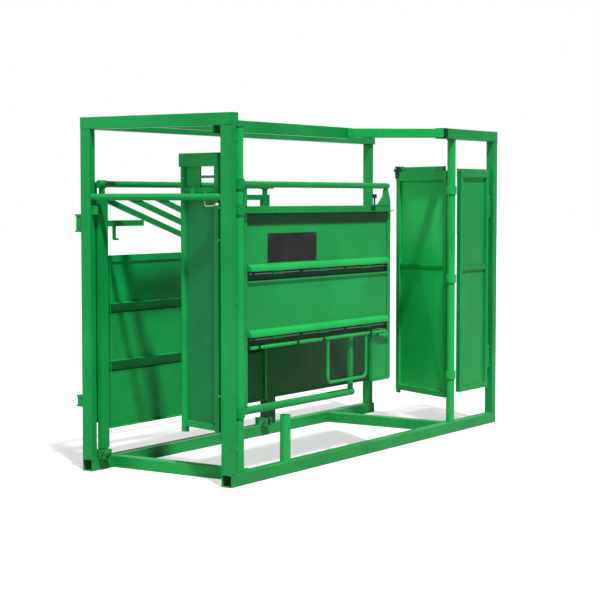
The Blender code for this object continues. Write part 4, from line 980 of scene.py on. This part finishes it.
for level in ("upper", "middle"):
    panel_low, panel_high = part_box(level + "_drop_panel")
    rod_low, rod_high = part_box(level + "_hinge_rod")
    lip_up = middle_of(level + "_hinge_rod").z + LIP_OVER + LIP_THICK
    face_y = panel_high.y - SHEET_THICK
    curve = [(face_y - FLANGE_OUT * cos(radians(turn)) ** FLANGE_HOLLOW,
              lip_up + FLANGE_TALL * sin(radians(turn))) for turn in FLANGE_TURNS]
    foot = [(face_y + FLANGE_SEAT, lip_up - FLANGE_SEAT), (face_y - FLANGE_OUT, lip_up - FLANGE_SEAT)]
    profile = foot + curve + [(face_y + FLANGE_SEAT, lip_up + FLANGE_TALL)]
    # The flanges take the lighter green, which paints sunlight on them.
    extrude(level + "_lip_flange", level + "_drop", profile,
            (panel_low.x + FLANGE_SHORT, panel_high.x - FLANGE_SHORT), painted_sunlit_enamel)
    flat_bar(level + "_slot_strip", "swing_side", PLAIN, (rod_low.x, rod_high.x),
             [panel_high.y + behind for behind in STRIP_BEHIND],
             (rod_low.z - STRIP_DOWN, rod_high.z + STRIP_UP), painted_deep_shade_enamel, rounding=SHEARED)
print("each lip's flange is %.0f mm tall" % (FLANGE_TALL * 1000))

# %% Stop strip, lug webs and the top tube's plug
STOP_ALONG, STOP_ACROSS, STOP_UP = (-0.0005, 0.028), (0.0085, 0.0125), (0.300, 1.800)
FAR_LUG_PAIRS = ((0.4115, 0.4605), (1.5015, 1.5905))     # between the lugs
WEB_ALONG, WEB_ACROSS, WEB_CORNER = (0.010, 0.018), (-0.0005, 0.048), 0.0018
WALL, PLUG_IN = 0.0048, (0.0008, 0.0050)                 # the tube's wall, and the plug in from its end

flat_bar("far_stop_strip", "frame", PLAIN, [front + FRONT_POST_DEEP + x for x in STOP_ALONG],
         [far_in + y for y in STOP_ACROSS], STOP_UP, painted_deep_shade_enamel, rounding=SHEARED)
for lower, upper in FAR_LUG_PAIRS:
    flat_bar("far_lug_web_%d" % round(upper * 1000), "frame", PLAIN, [front + x for x in WEB_ALONG],
             [far_high.y + y for y in WEB_ACROSS], (lower, upper), rounding=WEB_CORNER)
cross_low, cross_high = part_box("top_cross_front")
flat_bar("top_cross_plug", "frame", PLAIN, (cross_low.x + WALL, cross_high.x - WALL),
         [cross_low.y + y for y in PLUG_IN], (cross_low.z + WALL, cross_high.z - WALL), rounding=SHEARED)
print("stop strip, %d lug webs and a plug made" % len(FAR_LUG_PAIRS))

# %% [markdown]
# ## The tail door's top
#
# A bar runs along the top of the tail door, and its leading corner carries a black bracket
# with two bolts.  The bolts are nuts whose bore is nearly closed.

# %% Tail door top
BEAM_TOP, TOP_BAR_TALL, TOP_BAR_SEAT = 1.900, 0.034, 0.0004
TOP_BAR_ALONG, TOP_BAR_HALF = (0.085, 0.645), 0.014
BLOCK_ALONG, BLOCK_HALF, BLOCK_UP = (0.6455, 0.6905), 0.0275, (-0.050, 0.040)
BOLT_ALONG, BOLT_OUT, BOLTS_UP, BOLT_BORE = 0.668, 0.0272, (-0.032, 0.022), 0.001
TOP_CORNER = 0.003

# The top bar takes the lighter green, which paints sunlight on it.
flat_bar("tail_door_top_bar", "tail_door", TAIL_DOOR, TOP_BAR_ALONG, (-TOP_BAR_HALF, TOP_BAR_HALF),
         (BEAM_TOP - TOP_BAR_SEAT, BEAM_TOP + TOP_BAR_TALL), painted_sunlit_enamel, rounding=TOP_CORNER)
flat_bar("tail_corner_block", "tail_door", TAIL_DOOR, BLOCK_ALONG, (-BLOCK_HALF, BLOCK_HALF),
         [BEAM_TOP + up for up in BLOCK_UP], black_finish, TOP_CORNER)
for up in BOLTS_UP:
    hex_nut("tail_door", TAIL_DOOR @ Vector((BOLT_ALONG, BOLT_OUT, BEAM_TOP + up)),
            TAIL_DOOR.to_3x3() @ Vector((0.0, 1.0, 0.0)), hole=BOLT_BORE)
print("the tail door's top bar ends at z = %.3f" % (BEAM_TOP + TOP_BAR_TALL))

# %% Settle the fittings
for body, solid in fittings.items():
    settle(solid, "fittings_" + body, body, zinc_plate)

# %% [markdown]
# ## The knob's grip and the hook wire
#
# A pull pin's knob has turned grooves, shown here by low rings round it.  A bent wire hangs
# over the front bar beside the near post, with a pale rubber tip.  The rings and the wire
# are swept tubes like the beads, without their ripple.  The tip is a ball drawn out along
# the wire, built row by row, so that its faces come in the same order each time.

# %% Knob rings
KNOB_TALL, RING_WIRE, RINGS_DOWN = 0.026, 0.0013, (0.2, 0.4, 0.6, 0.8)

pin_low, pin_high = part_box("pull_pin")
knob_radius = (pin_high.x - pin_low.x) / 2
pin = middle_of("pull_pin")
knob = bmesh.new()
for share in RINGS_DOWN:
    ring = ring_points((pin.x, pin.y, pin_high.z - KNOB_TALL * share), (0, 0, 1), knob_radius, 32)
    sweep(knob, ring, RING_WIRE, 6, True)
settle(knob, "knob_rings", "pull_pin", grip_finish)
print("the knob is %.0f mm across" % (2000 * knob_radius))

# %% Hook wire
HOOK_WIRE, HOOK_SIDES, HOOK_CLEAR, HOOK_IN = 0.0030, 10, 0.0006, 0.130
TIP_RADIUS, TIP_LONG, TIP_ROWS, TIP_SIDES = 0.0085, 1.5, 12, 18
WRAP_TURNS = range(0, 190, 15)       # degrees over the bar
DROP = ((-0.002, -0.002, -0.040), (-0.006, -0.006, -0.050), (-0.008, -0.020, -0.055),
        (-0.008, -0.060, -0.052), (-0.008, -0.096, -0.044))     # from the bar's middle

hook_top = Vector((bar_centre.x, near_in + HOOK_IN, bar_centre.z))
around = bar_radius + HOOK_WIRE + HOOK_CLEAR
wrap = [hook_top + Vector((sin(radians(turn)), 0.0, cos(radians(turn)))) * around for turn in WRAP_TURNS]
drop = [hook_top + Vector(place) for place in DROP]
hook = bmesh.new()
sweep(hook, wrap + drop, HOOK_WIRE, HOOK_SIDES)
settle(hook, "hook_wire", "frame", hook_finish)

tip, rows = bmesh.new(), []
turns = [tau * k / TIP_SIDES for k in range(TIP_SIDES)]
for row in range(1, TIP_ROWS):
    lean = tau / 2 * row / TIP_ROWS          # from straight up, 0, to straight down
    places = [Vector((sin(lean) * sin(turn), sin(lean) * cos(turn) * TIP_LONG, cos(lean))) for turn in turns]
    rows.append([tip.verts.new(drop[-1] + place * TIP_RADIUS) for place in places])
join_rings(tip, rows)
for up, row in ((1, rows[0]), (-1, rows[-1])):
    pole = tip.verts.new(drop[-1] + Vector((0.0, 0.0, up * TIP_RADIUS)))
    for k in range(TIP_SIDES):
        tip.faces.new((pole, row[k], row[(k + 1) % TIP_SIDES]))
settle(tip, "hook_tip", "frame", tip_finish)
print("hook wire hangs to z = %.3f" % min(place.z for place in drop))

# %% [markdown]
# ## The size
#
# The added pieces stay inside the box of the frame's own solids, so the chute is as big in
# the picture as it is in the workshop.  This cell prints how many solids the frame has.

# %% Count the solids
print("boxes written, for", len(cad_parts), "solids and what was added")
